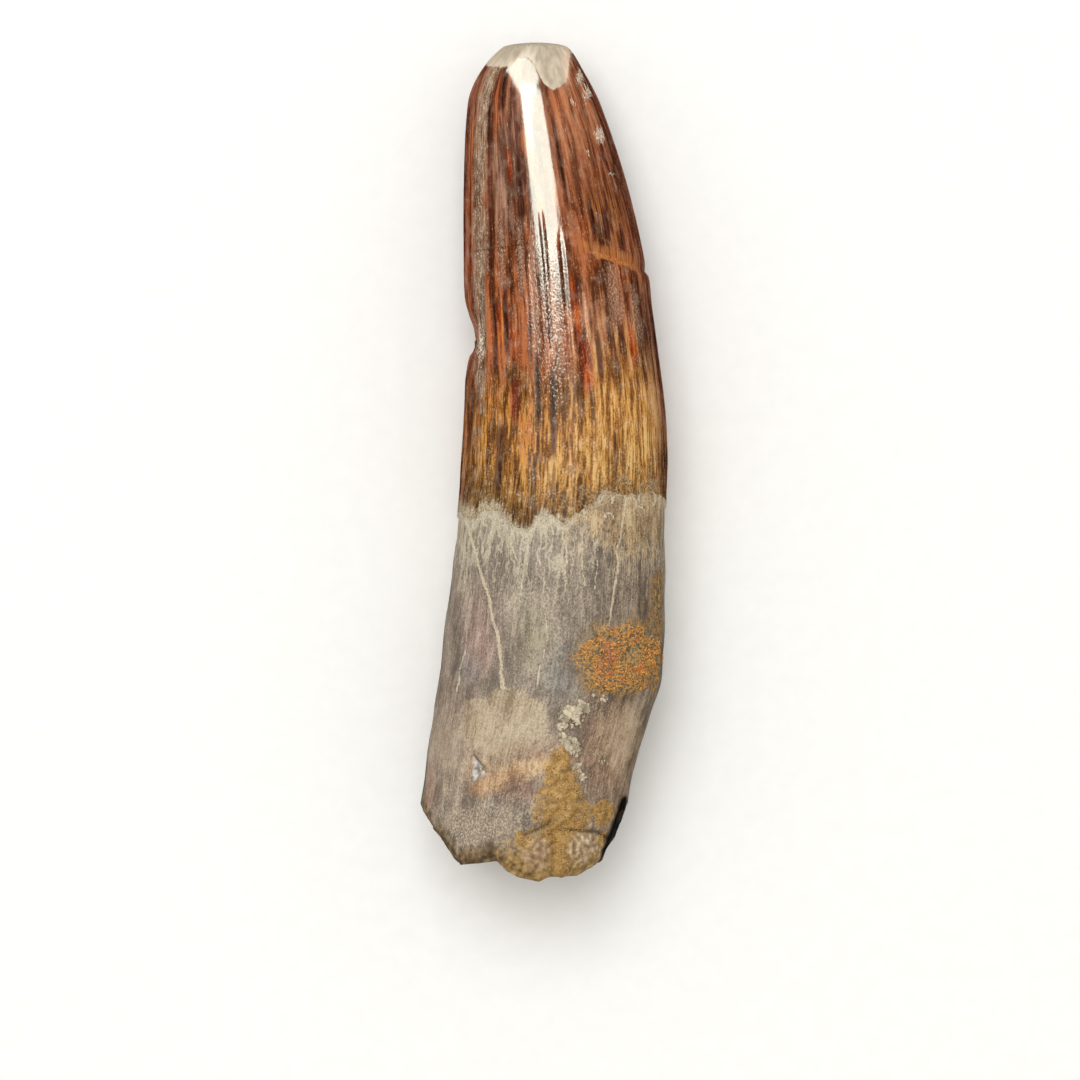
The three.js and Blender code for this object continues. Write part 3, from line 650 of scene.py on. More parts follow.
def markings(angle, x, along):
    """Every marking as a value at each point, most of them 1 in the middle and 0 at the outline."""
    upper = smooth_step(np.sin(angle), 0.05, 0.3)
    middle, half = edges(along)
    off_edge = x - (middle - half)
    off_crack = crack_distance(x, along)
    pit_edge = distance_to_path(x, along, (PIT_CORNERS[0], PIT_CORNERS[1]))
    # Dark in the cracks at the break, and painted shade along the pit's upper edge.
    dark = 2 * grooves(x, along) * (np.abs(x - 1.5) > 0.4) + 0.6 * swell(pit_edge, 0.12) * (along > 12.5)
    found = {
        "chips": 1 - chip_reach(x, along),
        "crust": np.maximum(1 - crust_reach(x, along), 0.3 - 0.3 * distance_to_path(x, along, IRON_STRIP)),
        "sand": sand_depth(x, along),
        "fill": 1 - fill_reach(x, along),
        "pale_line": pale_lines(x, along),
        "tan_band": 1 - distance_to_path(x, along, TAN_BAND) / TAN_BAND_WIDTH,
        "pit": inside_corners(x, along, PIT_CORNERS),
        **{name: 1 - patch_reach(x, along, patch) for name, patch in PATCHES.items()},
    }
    found["lens"] *= smooth_step(along, LENS_FOOT, LENS_CLEAR)
    below = 2 * (1 - upper)  # takes a marking of the upper face far below 0 elsewhere
    found = {name: value * upper - below for name, value in found.items()}
    # Painted glints: pale flecks along the shining line of the crown and on a patch at its right.
    long_glint = plateau(along, 45, 56, 68, 76) * swell(distance_to_path(x, along, GLINT_LINE), 2.2)
    side_glint = 0.8 * swell(patch_reach(x, along, GLINT_PATCH), 0.8)
    near_edge = plateau(off_edge, 0.1, 0.8, 1.5, 2.3) * (np.sin(angle) > -0.2)
    above_crack = swell(np.clip(off_crack, 0, 9), 1.2) * (off_crack > -0.4)
    return {
        **found,
        "worn_tip": worn_tip(angle, x, along),
        # Painted light: a paler rim along the right of the worn facet at the tip.
        "painted_light_on_tip_rim": swell(x - 2.85 - 0.05 * (along - 89), 0.35) * smooth_step(along, 86.6, 87.6) * upper,
        **{name: streaks(x, along, table) - below for name, table in STREAKS.items()},
        # Along the left cutting edge: partly worn enamel, partly painted reflection and glints.
        "flank_wear_and_painted_sheen": sunk(near_edge * (0.3 + 0.7 * smooth_step(along, 48, 58))),
        "off_crack": off_crack,
        "no_crack": 1 - smooth_step(x, 4.2, 6.2) * upper,
        "blush_crack": sunk(above_crack * smooth_step(x, 3.4, 6) * upper),
        "off_hairline": along - HAIRLINE_ALONG - HAIRLINE_RISE * x,
        "no_hairline": 1 - (1 - smooth_step(x, -2.2, -0.6)) * upper,
        # Painted shade: near-black colour laid in the deep crevice at the right of the break.
        "cavity": swell(distance_to_path(x - 0.3, along, CREVICE), 1.5 * CREVICE_WIDTH) * upper,
        "dark_cracks_and_pit_shade": np.minimum(1, dark) * upper,
        # Painted shade: darker where the crown's sides turn away from the light.
        "rim": sunk(swell(np.sin(angle), 0.45)),
        "glint": np.maximum(long_glint, side_glint) * upper,
    }


# ---- Meshes ----

def ring_faces(rings, around):
    """Quads between neighbouring rings, and a fan to the pole at each end. Rings run from the first pole to
    the second, and columns anticlockwise seen from the first. The two poles are the last two points."""
    row = np.arange(rings - 1)[:, None] * around
    i = np.arange(around)[None, :]
    j = (i + 1) % around
    quads = np.stack([row + i, row + around + i, row + around + j, row + j], -1).reshape(-1, 4)
    last = (rings - 1) * around
    i, j = i[0], j[0]
    first_fan = np.stack([np.full(around, rings * around), i, j], -1)
    last_fan = np.stack([np.full(around, rings * around + 1), last + j, last + i], -1)
    return quads, np.concatenate([first_fan, last_fan])


def build_mesh(name, points, quads, triangles, fields=None):
    """A smooth-shaded object from arrays. fields are named values, or vectors, kept at the vertices."""
    mesh = bpy.data.meshes.new(name)
    corners = np.concatenate([quads.ravel(), triangles.ravel()])
    sizes = np.concatenate([np.full(len(quads), 4), np.full(len(triangles), 3)])
    mesh.vertices.add(len(points))
    mesh.vertices.foreach_set("co", np.asarray(points, np.float32).ravel())
    mesh.loops.add(len(corners))
    mesh.loops.foreach_set("vertex_index", corners.astype(np.int32))
    mesh.polygons.add(len(sizes))
    mesh.polygons.foreach_set("loop_start", np.concatenate([[0], np.cumsum(sizes)[:-1]]).astype(np.int32))
    mesh.polygons.foreach_set("use_smooth", np.ones(len(sizes), bool))
    for field, values in (fields or {}).items():
        values = np.asarray(values, np.float32)
        kind, key = ("FLOAT_VECTOR", "vector") if values.ndim == 2 else ("FLOAT", "value")
        mesh.attributes.new(field, kind, "POINT").data.foreach_set(key, values.ravel())
    mesh.update(calc_edges=True)
    mesh.validate()
    piece = bpy.data.objects.new(name, mesh)
    bpy.context.scene.collection.objects.link(piece)
    return piece


def lumps_mesh(name, centres, normals, sizes, lumpiness, stretch, seed):
    """Irregular closed lumps in one mesh: each is a sphere's grid of rings, pushed in and out by noise,
    stretched along three axes by up to the given amounts, turned round its normal at random, and moved."""
    around, rings = 6, 3
    random = np.random.default_rng(seed)
    polar = np.pi * np.arange(1, rings + 1)[:, None] / (rings + 1)
    turn = 2 * np.pi * np.arange(around) / around
    wide = np.sin(polar)
    ring = np.stack([wide * np.cos(turn), wide * np.sin(turn), np.cos(polar) + 0 * turn], -1)
    ball = np.concatenate([ring.reshape(-1, 3), [[0, 0, 1], [0, 0, -1]]])
    count = len(centres)
    apart = ball + 20.0 * np.arange(count)[:, None, None] * (1, 0, 0)
    size = 1 + lumpiness * (grain(apart, 0.9, seed) + 0.5 * grain(apart, 0.45, seed + 1))
    lump = ball * size[..., None] * random.uniform(0.5, 1, (count, 1, 3)) * stretch * sizes[:, None, None]
    side = np.cross(normals, random.normal(size=(count, 3)))
    side /= np.linalg.norm(side, axis=1, keepdims=True)
    axes = np.stack([side, np.cross(normals, side), normals], 1)
    points = (centres[:, None] + lump @ axes).reshape(-1, 3)
    quads, fans = ring_faces(rings, around)
    first = (len(ball) * np.arange(count))[:, None, None]
    quads, fans = (quads + first).reshape(-1, 4), (fans + first).reshape(-1, 3)
    tone = np.repeat(random.random(count), len(ball))
    return build_mesh(name, to_frame(points), quads, fans, {"tone": tone, "place": points})


# ---- Materials ----

def linear(code):
    """An sRGB hex colour such as #c0a070 as linear red, green, blue and full alpha."""
    values = [int(code[i:i + 2], 16) / 255 for i in (1, 3, 5)]
    return (*[v / 12.92 if v <= 0.04045 else ((v + 0.055) / 1.055) ** 2.4 for v in values], 1)


def shade(colour, level):
    """A colour made darker or lighter by a level. The darker ones are more saturated, as thick stains are."""
    return (*[min(1, channel ** (1.25 - 0.25 * level) * level) for channel in colour[:3]], 1)


def spaced(places, colours):
    """Stops of a colour ramp: a colour at each of the places, or the colours evenly spaced between two. The
    colours are linear ones, or hex values in one string."""
    if isinstance(colours, str):
        colours = [linear(code) for code in colours.split()]
    at = np.interp(np.linspace(0, 1, len(colours)), np.linspace(0, 1, len(places)), places)
    return list(zip(at.tolist(), colours))


def add(tree, kind, inputs=None, out=None, stops=(), **settings):
    """Adds a shader node with its settings, sets or links its inputs, given by name or number, fills its
    colour ramp from (place, colour) stops, and returns the output of the given name, or the first in use."""
    node = tree.nodes.new("ShaderNode" + kind)
    for key, value in settings.items():
        setattr(node, key, value)
    in_use = {socket.name: socket for socket in reversed(node.inputs) if socket.enabled}
    for key, value in (inputs or {}).items():
        socket = node.inputs[key] if isinstance(key, int) else in_use[key]
        if isinstance(value, bpy.types.NodeSocket):
            tree.links.new(value, socket)
        else:
            socket.default_value = value
    for i, (place, colour) in enumerate(stops):
        stop = node.color_ramp.elements[i] if i < 2 else node.color_ramp.elements.new(place)
        stop.position, stop.color = place, colour
    return next((s for s in node.outputs if s.enabled and (out is None or s.name == out)), None)


class Readings(dict):
    """The values that a material reads, by name. What the mesh keeps at its vertices is added to the node
    tree when it is first read: x and the place along the tooth from "place", and any other as a field."""

    def __init__(self, tree):
        super().__init__()
        self.tree = tree

    def __missing__(self, name):
        axis = {"across": "X", "along": "Y"}.get(name)
        if axis:
            self[name] = add(self.tree, "SeparateXYZ", {0: self["place"]}, out=axis)
        else:
            kind = "Vector" if name in ("lanes", "place") else "Fac"
            self[name] = add(self.tree, "Attribute", out=kind, attribute_name=name)
        return self[name]


def new_material(name, noises=None):
    """An empty material, its tree and the values it can read, among them noises of the given sizes in mm on
    the lanes' three axes, each with its detail."""
    material = bpy.data.materials.new(name)
    material.use_nodes = True
    tree = material.node_tree
    tree.nodes.clear()
    values = Readings(tree)
    for noise, (size, detail) in (noises or {}).items():
        scaled = {"Vector": values["lanes"], "Scale": tuple(1 / length for length in size)}
        scaled = {"Vector": add(tree, "Mapping", scaled), "Scale": 1.0, "Detail": detail}
        values[noise] = add(tree, "TexNoise", scaled)
    return material, tree, values


def weighted(tree, values, weights, start):
    """A start plus each named value times its weight."""
    for name, weight in weights.items():
        start = add(tree, "Math", {0: values[name], 1: weight, 2: start}, operation="MULTIPLY_ADD")
    return start


def lay_tints(tree, values, colour, rows):
    """Lays tints over a colour in turn. A row says which value its tint follows over the surface, which
    noises make that ragged and by how much, between which values it sets in, how far it covers, which value
    its colours run with, and their places and the colours. Its mask is kept under "on" and its value."""
    for where, ragged, (low, high), cover, follows, places, colours in rows:
        edge = weighted(tree, values, ragged, values[where])
        middle = sum(ragged.values()) / 2
        ends = {"From Min": low + middle, "From Max": high + middle, "To Max": cover}
        mask = add(tree, "MapRange", {"Value": edge, **ends})
        tint = add(tree, "ValToRGB", {"Fac": values[follows]}, stops=spaced(places, colours))
        colour = add(tree, "Mix", {"Factor": mask, "A": colour, "B": tint}, data_type="RGBA")
        values["on " + where] = mask
    return colour


def surface(tree, inputs):
    """Puts a principled shader with the given inputs on the surface."""
    add(tree, "OutputMaterial", {"Surface": add(tree, "BsdfPrincipled", inputs)})


def enamel_material(colours):
    """Fossil tooth enamel, grown in fine striae and polished by wear: red-brown and glossy towards the tip,
    golden ochre and duller towards the root, with streaks that follow the striae."""
    # Striae are 0.2 to 0.5 mm wide and 1.5 to 9 mm long, and the pits and wrinkles about 0.2 mm across.
    material, tree, values = new_material("fossil enamel, striated and worn glossy", {
        "patch": ((2.6, 2.6, 7), 3), "broad": ((1.1, 1.1, 9), 2), "fine": ((0.5, 0.5, 4.5), 2),
        "dash": ((0.2, 0.2, 1.5), 1), "line": ((0.28, 0.28, 4), 1), "speck": ((0.17, 0.17, 0.24), 1),
        "blotch": ((1.1, 1.1, 1.3), 2), "wrinkle": ((0.21, 0.21, 0.3), 3),
    })
    # How light a streak is, 0.5 on average: fine dashes near the root, and broader bands above them.
    values["dashes"] = weighted(tree, values, {
        "patch": 0.9, "broad": 1.1, "fine": 1.0, "dash": 1.1, "line": 0.9, "speck": 0.5,
        "stria": 0.05, "groove": -0.06,
    }, -2.25)
    values["bands"] = weighted(tree, values, {
        "patch": 1.1, "broad": 1.5, "fine": 0.9, "line": 0.4, "dash": 0.5, "speck": 0.4, "groove": -0.1,
    }, -1.87)

    # The main colour of each zone, from its dark striae to its light ones.
    run = (0.2, 0.42, 0.5, 0.8)
    edge = [shade(colours.crown_edge, level) for level in (0.42, 0.72, 1.02, 1.5)]
    middle = [shade(colours.crown_middle, level) for level in (0.42, 0.8, 1.05, 1.6)]
    tip = [shade(colours.crown_tip, level) for level in (0.5, 0.85, 1.05, 1.45)]
    for name in ("crack", "hairline"):
        off = add(tree, "Math", {0: values["off_" + name]}, operation="ABSOLUTE")
        values[name] = add(tree, "Math", {0: off, 1: values["no_" + name]}, operation="ADD")
    colour = add(tree, "ValToRGB", {"Fac": values["dashes"]}, stops=spaced(run, edge))
    zones = {"broad": 13.0, "fine": 9.0, "line": 9.0}
    colour = lay_tints(tree, values, colour, (
        ("along", zones, (51, 57), 1.0, "bands", run, middle),
        ("along", zones, (68, 78), 1.0, "bands", run, tip),
        ("drab", {"fine": 1.0, "broad": 0.8}, (-0.1, 0.7), 0.7, "bands",
         (0.2, 0.8), "#5f4230 #8e6b52 #b09274"),
        ("patch", {"fine": 0.3, "line": 0.2}, (0.54, 0.66), 0.75, "bands",
         (0.2, 0.8), "#5f220c #98461f #bd6a38"),
        ("broad", {"fine": 0.9, "line": 0.3}, (0.46, 0.32), 0.6, "dash", (0.3, 0.7), "#32180e #6a3d28"),
        ("ruddy", {"fine": 1.2, "line": 0.4}, (0.0, 0.9), 0.75, "bands",
         (0.2, 0.8), "#804c34 #b26f4c #ca8a62"),
        # Painted sheen: a greyish veil on the right of the crown.
        ("painted_sheen_veil", {"fine": 1.2, "line": 0.6}, (0.0, 0.7), 0.5, "bands",
         (0.2, 0.8), "#5c3e2c #966b4e #c29878"),
        ("sheen", {"fine": 1.2, "broad": 1.0}, (0.0, 0.7), 0.7, "bands", (0.2, 0.8), "#6e4f40 #b8927c"),
        ("dusky", {"fine": 1.0, "line": 0.6}, (0.0, 0.6), 0.85, "line",
         (0.4, 0.5, 0.62), "#3f2011 #683a20 #a86636"),
        ("amber", {"broad": 1.6, "fine": 1.6}, (-0.6, 0.4), 0.85, "dashes",
         (0.2, 0.45, 0.6, 0.8), "#96622c #c88a44 #dba45a #ecc27c"),
        ("rust_streaks", {"dash": 0.6, "fine": 1.0}, (0.3, 0.8), 0.9, "bands",
         (0.2, 0.8), "#71260c #b3501d #d98038"),
        ("above_enamel", {"patch": -14.0, "line": -6.0}, (9.0, 4.0), 0.3, "dashes",
         (0.2, 0.8), "#4f3d1c #95763e #cfae70"),
        ("above_enamel", {"line": -9.0, "dash": -4.0, "across": 0.25}, (2.6, 0.6), 0.8, "dash",
         (0.4, 0.6), "#38270f #6c5128"),
        ("speck", {"dash": 0.4, "above_enamel": 0.003}, (0.4, 0.3), 0.5, "dash",
         (0.3, 0.7), "#2b170c #5a3820"),
        ("speck", {"dash": 0.4, "above_enamel": -0.0025}, (0.58, 0.7), 0.5, "blotch",
         (0.4, 0.6), "#b48250 #e2c8a0"),
        ("scallops", {"blotch": 2.4, "dash": 0.8}, (-0.2, 0.4), 0.8, "speck",
         (0.35, 0.65), "#5a4428 #b89c70"),
        ("dark_streaks", {"dash": 1.2, "fine": 0.8}, (0.3, 0.8), 0.85, "bands",
         (0.3, 0.6), "#27120e #54302a"),
        ("gold", {"dash": 1.0, "fine": 0.8}, (0.0, 0.7), 0.7, "dashes", (0.3, 0.7), "#b58443 #dcb06a"),
        # Painted sheen: grey streaks along the flutes beside the highlight.
        ("painted_sheen_streaks", {"dash": 1.2, "speck": 1.2}, (0.1, 0.9), 0.65, "speck",
         (0.3, 0.7), "#5d4334 #8d6d57 #bfa794"),
        # Along the left cutting edge: worn enamel with a painted grey reflection, then pale painted glints.
        ("flank_wear_and_painted_sheen", {"blotch": 2.6, "patch": 2.0, "fine": 1.2}, (0.0, 1.1), 0.8, "dash",
         (0.3, 0.5, 0.66), "#5c4331 #8e745c #b8a48c"),
        ("flank_wear_and_painted_sheen", {"speck": 6.0, "dash": 1.0}, (1.5, 2.0), 0.75, "blotch",
         (0.4, 0.6), "#b39d82 #f3e9d6"),
        ("blush_crack", {"dash": 0.8, "fine": 0.8}, (0.1, 0.7), 0.75, "dash",
         (0.35, 0.65), "#96562d #c6824e"),
        ("crack", {"dash": 0.2, "speck": 0.4}, (0.34, 0.16), 0.9, "speck", (0.35, 0.65), "#9c5528 #d08c52"),
        ("hairline", {"speck": 0.2}, (0.12, 0.03), 0.55, "speck", (0.3, 0.7), "#2c170e #573624"),
        # Painted glints: pale flecks where the enamel shines.
        ("glint", {"speck": 3.4}, (1.1, 1.5), 0.65, "dash", (0.4, 0.6), "#cdb89c #eadcc6"),
        # Painted shade on the sides of the crown.
        ("rim", {"fine": 0.8}, (0.1, 0.9), 0.75, "bands", (0.2, 0.8), "#43211b #74402f #96614f"),
        ("chips", {"speck": 2.6, "blotch": 2.2}, (0.15, 0.55), 0.95, "speck",
         (0.3, 0.5, 0.62), "#7a573d #c8ac8b #fbf2e0"),
        ("above_enamel", {"blotch": -2.0, "dash": -1.6, "across": 0.1}, (0.8, 0.0), 0.75, "speck",
         (0.35, 0.65), "#9a8a6c #d9ccb0"),
        ("worn_tip", {"dash": 0.3, "blotch": 0.3}, (-0.1, 0.1), 1.0, "blotch",
         (0.3, 0.7), "#b3a38d #c9b8a0 #dacab2"),
        ("along", {"blotch": 0.8}, (89.6, 91.2), 0.5, "blotch", (0.3, 0.7), "#978b78 #b5a893"),
        # Painted light on the right rim of the worn facet at the tip.
        ("painted_light_on_tip_rim", {"blotch": 0.6}, (0.0, 0.9), 0.8, "blotch", (0.35, 0.65), "#d9b99b #e8ccb0"),
    ))

    polish = {"Value": values["along"], "From Min": 50, "From Max": 68, "To Min": 0.24, "To Max": 0.09}
    rough = add(tree, "MapRange", polish)
    rough = weighted(tree, values, {"on worn_tip": 0.35}, rough)
    relief = add(tree, "MapRange", {"Value": values["along"], "From Min": 40, "From Max": 90})
    strengths = ((0.1, 0.15), (0.3, 0.3), (0.42, 0.45), (0.54, 0.2), (0.62, 0.1), (0.75, 0.02))
    stops = [(place, (strength, strength, strength, 1)) for place, strength in strengths]
    relief = add(tree, "ValToRGB", {"Fac": relief}, stops=stops)
    wrinkled = {"Strength": relief, "Distance": 0.08 * MM, "Height": values["wrinkle"]}
    normal = add(tree, "Bump", wrinkled)
    surface(tree, {"Base Color": colour, "Roughness": rough, "IOR": 1.62, "Normal": normal})
    return material


def root_material(colours):
    """Fossil root dentine, crazed, silted and weathered matt: mauve-grey with lengthwise fibres and pale
    veins, a pale band under the enamel, an orange iron crust and golden sandstone that still cling to it."""
    # Fibres are 0.2 to 0.5 mm wide and 2 to 4 mm long, and the grit is about half a millimetre.
    material, tree, values = new_material("fossil root dentine, crazed and weathered matt", {
        "patch": ((2.6, 2.6, 6), 3), "fibre": ((0.5, 0.5, 4), 3), "hair": ((0.2, 0.2, 1.8), 2),
        "speck": ((0.14, 0.14, 0.22), 2), "blotch": ((1.1, 1.1, 1.5), 3), "grit": ((0.55, 0.55, 0.6), 2),
    })
    shares = {"patch": 1.0, "fibre": 0.5, "blotch": 0.5, "hair": 0.6, "speck": 1.1, "grit": 0.3}
    values["tone"] = weighted(tree, values, shares, -1.5)
    run = spaced((0.2, 0.8), [shade(colours.root, level) for level in (0.6, 1, 1.5)])
    colour = add(tree, "ValToRGB", {"Fac": values["tone"]}, stops=run)

    # Crazing: the borders of long cells, bent by noise, filled with pale silt near the enamel.
    bent = {0: values["blotch"], 1: (1.6, 1.6, 1.6), 2: values["lanes"]}
    bent = add(tree, "VectorMath", bent, operation="MULTIPLY_ADD")
    bent = add(tree, "Mapping", {"Vector": bent, "Scale": (1 / 0.9, 1 / 0.9, 1 / 7)})
    craze = add(tree, "TexVoronoi", {"Vector": bent, "Scale": 1.0}, feature="DISTANCE_TO_EDGE")
    craze = add(tree, "MapRange", {"Value": craze, "From Min": 0.14, "From Max": 0.05})
    near = {"Value": values["above_enamel"], "From Min": -11, "From Max": -4, "To Min": 0.05, "To Max": 0.85}
    near = add(tree, "MapRange", near)
    values["craze"] = add(tree, "Math", {0: craze, 1: near}, operation="MULTIPLY")

    silted = (linear("#b9aa90"), shade(colours.silt, 1.15))
    golden = [shade(colours.sandstone, level) for level in (0.5, 1, 1.35)]
    mottled = {"speck": 0.3, "blotch": 0.8}
    colour = lay_tints(tree, values, colour, (
        ("across", {"patch": 4.0, "fibre": 4.0}, (1.0, 9.0), 0.6, "tone",
         (0.2, 0.8), "#4b3c2e #7a6851 #a69276"),
        ("warm", mottled, (0.0, 0.8), 0.8, "tone", (0.2, 0.8), "#70503a #9c795b #be9e80"),
        ("slate", mottled, (0.0, 0.7), 0.7, "tone", (0.2, 0.8), "#56514a #807a71 #a19b92"),
        ("left_slate", mottled, (0.0, 0.5), 0.7, "tone", (0.2, 0.8), "#5f5b55 #87827c #a39d95"),
        ("rosy", mottled, (0.0, 0.8), 0.55, "tone", (0.2, 0.8), "#7f6154 #a78375 #c5a393"),
        ("olive", mottled, (0.0, 0.8), 0.6, "tone", (0.2, 0.8), "#5e563f #877c5f #a79c7e"),
        ("above_enamel", {"hair": 2.0, "fibre": 3.0, "blotch": 5.0}, (-4.8, -0.4), 0.8, "tone",
         (0.2, 0.8), "#8a7d6a #b3a68f #d0c4ac"),
        ("mauve", {"blotch": 3.6, "fibre": 2.0}, (0.4, 1.6), 0.6, "tone", (0.2, 0.8), "#63574e #988a80"),
        ("craze", {"patch": 1.0, "speck": 0.6}, (0.2, 0.8), 0.65, "speck", (0.3, 0.7), silted),
        ("above_enamel", {"speck": 1.2, "blotch": 1.2}, (-1.1, -0.2), 0.6, "speck",
         (0.3, 0.7), "#b5a68c #e4dac3"),
        ("scallops", {"blotch": 1.6, "fibre": 1.6}, (-0.4, 0.3), 0.8, "tone",
         (0.2, 0.8), "#644a2a #a5845a #d2b688"),
        ("tawny", mottled, (-0.2, 0.7), 0.75, "tone", (0.2, 0.8), "#836c59 #a7917c #bfab94"),
        ("sallow", mottled, (-0.1, 0.6), 0.8, "tone", (0.2, 0.8), "#97795b #bfa280 #dac4a2"),
        ("lens", {"speck": 0.12, "blotch": 0.4}, (0.0, 0.2), 0.8, "tone",
         (0.2, 0.8), "#937b5b #baa484 #d0be9f"),
        ("right_lens", mottled, (-0.1, 0.4), 0.8, "tone", (0.2, 0.8), "#82694f #ac9374 #c8b194"),
        ("blush", mottled, (-0.2, 0.7), 0.75, "tone", (0.2, 0.8), "#7b5a45 #a5846a #c0a48c"),
        ("purple", mottled, (-0.3, 0.6), 0.95, "tone", (0.2, 0.8), "#5e4638 #866552 #a08370"),
        ("speckle", {"speck": 0.8, "blotch": 2.0}, (-0.2, 0.8), 0.8, "speck",
         (0.3, 0.5, 0.66), "#7d6955 #a38f79 #cfc2ac"),
        ("flush", mottled, (-0.2, 0.5), 0.8, "tone", (0.2, 0.8), "#8a6a54 #c3a48c"),
        # Painted shadow round and under the silt crumbs.
        ("painted_crumb_shadow", {"speck": 1.2, "blotch": 1.2}, (-0.1, 0.6), 0.85, "speck", (0.35, 0.65), "#4a392b #8c755f"),
        ("tan_band", {"speck": 0.4, "blotch": 1.1}, (-0.4, 0.8), 0.9, "tone",
         (0.2, 0.8), "#9a6f47 #c29a70 #dfc59b"),
        ("pale_line", {"speck": 0.9, "blotch": 0.9}, (0.25, 0.7), 0.9, "speck",
         (0.3, 0.7), "#bba887 #dccdb1"),
        ("rust_haze", {"blotch": 2.4, "speck": 1.2}, (0.3, 1.0), 0.75, "grit",
         (0.3, 0.7), "#5f4d30 #8c6a3c #b98746"),
        ("from_break", {"grit": 1.2, "blotch": 2.2}, (2.5, 1.1), 0.9, "grit",
         (0.3, 0.7), "#45361c #6e5530 #9c7d4c"),
        ("fill", {"grit": 0.6, "blotch": 1.0}, (-0.15, 0.25), 0.85, "grit",
         (0.3, 0.7), "#745830 #ad8848 #cda868"),
        ("sand", {"grit": 0.9, "blotch": 1.8}, (-0.2, 0.25), 0.92, "grit", (0.3, 0.7), golden),
        ("lilac", {"grit": 1.8, "blotch": 2.6}, (-0.2, 0.7), 0.75, "grit",
         (0.3, 0.7), "#735c43 #a68b6c #d6c6b0"),
        ("left_lilac", {"grit": 1.8, "blotch": 2.6}, (-0.2, 0.7), 0.75, "grit",
         (0.3, 0.7), "#6c5138 #a07f61 #c2a98f"),
        ("crust", {"speck": 0.3, "blotch": 0.9}, (-0.2, 0.15), 0.85, "grit", (0.3, 0.7), "#54462a #8d7448"),
        ("bald", {"blotch": 0.8}, (0.0, 0.4), 0.6, "grit", (0.3, 0.7), "#6c6447 #8f8765"),
        ("pit", {"grit": 0.3}, (0.0, 0.3), 0.92, "grit", (0.35, 0.65), "#7d766c #aaa49a #e6e3dd"),
        # Dark in the cracks at the break, and painted shade along the pit's upper edge.
        ("dark_cracks_and_pit_shade", {"speck": 0.4, "grit": 0.5}, (0.25, 0.7), 0.85, "speck", (0.3, 0.7), "#2a1c10 #5a452a"),
        # Painted shade in the deep crevice at the right of the break.
        ("cavity", {"speck": 0.2}, (0.25, 0.6), 0.97, "speck", (0.3, 0.7), "#0a0604 #20160c"),
    ))

    # The crust has grown in worm-like threads about 0.3 mm wide: they are the middle values of a noise.
    threads = add(tree, "TexNoise", {"Vector": values["place"], "Scale": 1.8, "Detail": 1})
    threads = add(tree, "Math", {0: threads, 1: 0.5}, operation="SUBTRACT")
    threads = add(tree, "Math", {0: threads}, operation="ABSOLUTE")
    threads = add(tree, "MapRange", {"Value": threads, "From Min": 0.07, "From Max": 0.03})
    values["threads"] = add(tree, "Math", {0: threads, 1: values["on crust"]}, operation="MULTIPLY")
    values["redness"] = weighted(tree, values, {"blotch": 1.6}, values["red"])
    orange = (shade(colours.iron, 1), linear("#cf7a34"), linear("#d4602f"))
    threads = ("threads", {}, (0.0, 1.0), 0.9, "redness", (0.55, 0.9, 1.0), orange)
    colour = lay_tints(tree, values, colour, [threads])

    height = weighted(tree, values, {"speck": 0.7}, values["hair"])
    normal = add(tree, "Bump", {"Strength": 0.9, "Distance": 0.09 * MM, "Height": height})
    surface(tree, {"Base Color": colour, "Roughness": 0.6, "IOR": 1.55, "Normal": normal})
    return material


def grain_material(name, tones, roughness):
    """Grains of one mineral: each has its own colour between the given ones, mottled by noise."""
    material, tree, values = new_material(name)
    for noise, length in (("mottle", 0.2), ("broad", 1 / 0.7)):
        sized = {"Vector": values["place"], "Scale": 1 / length, "Detail": 2}
        values[noise] = add(tree, "TexNoise", sized)
    mixed = weighted(tree, values, {"tone": 0.5, "mottle": 0.6, "broad": 1.4}, -0.75)
    colour = add(tree, "ValToRGB", {"Fac": mixed}, stops=spaced((0.1, 0.9), tones))
    normal = {"Strength": 0.7, "Distance": 0.05 * MM, "Height": values["mottle"]}
    surface(tree, {"Base Color": colour, "Roughness": roughness, "Normal": add(tree, "Bump", normal)})
    return material


def floor_material(main):
    """White card, pressed smooth and matt: an even pale ground with a faint fibre about 2 mm long."""
    material, tree, _ = new_material("white card, matt")
    place = add(tree, "TexCoord", out="Object")
    fibre = add(tree, "TexNoise", {"Vector": place, "Scale": 1 / (2 * MM), "Detail": 2})
    whites = spaced((0.3, 0.7), (shade(main, 0.97), shade(main, 1)))
    colour = add(tree, "ValToRGB", {"Fac": fibre}, stops=whites)
    surface(tree, {"Base Color": colour, "Roughness": 0.9, "Specular IOR Level": 0.1})
    return material


# ---- What a user can change ----

def colour_property(name, description, code):
    """A colour that a user can change, from its sRGB hex value."""
    return bpy.props.FloatVectorProperty(
        name=name, description=description, default=linear(code)[:3], size=3, min=0, max=1, subtype="COLOR")


class FossilToothColours(bpy.types.PropertyGroup):
    crown_tip: colour_property("Crown at the tip", "Main colour of the polished enamel", "#7e482f")
    crown_middle: colour_property("Crown in the middle", "Main colour of the red-brown enamel", "#8b4c2b")
    crown_edge: colour_property("Crown at the root", "Main colour of the ochre enamel", "#b67931")
    root: colour_property("Root", "Main colour of the dentine of the root", "#8c7c6c")
    silt: colour_property("Silt", "Pale silt in the cracks and in crumbs on the root", "#cdbfa4")
    iron: colour_property("Iron crust", "Orange threads and grains of the iron crust", "#cf9342")
    sandstone: colour_property("Sandstone", "Golden sandstone at the root's break", "#b08847")
    floor: colour_property("Floor", "The pale ground", "#fdfdfb")


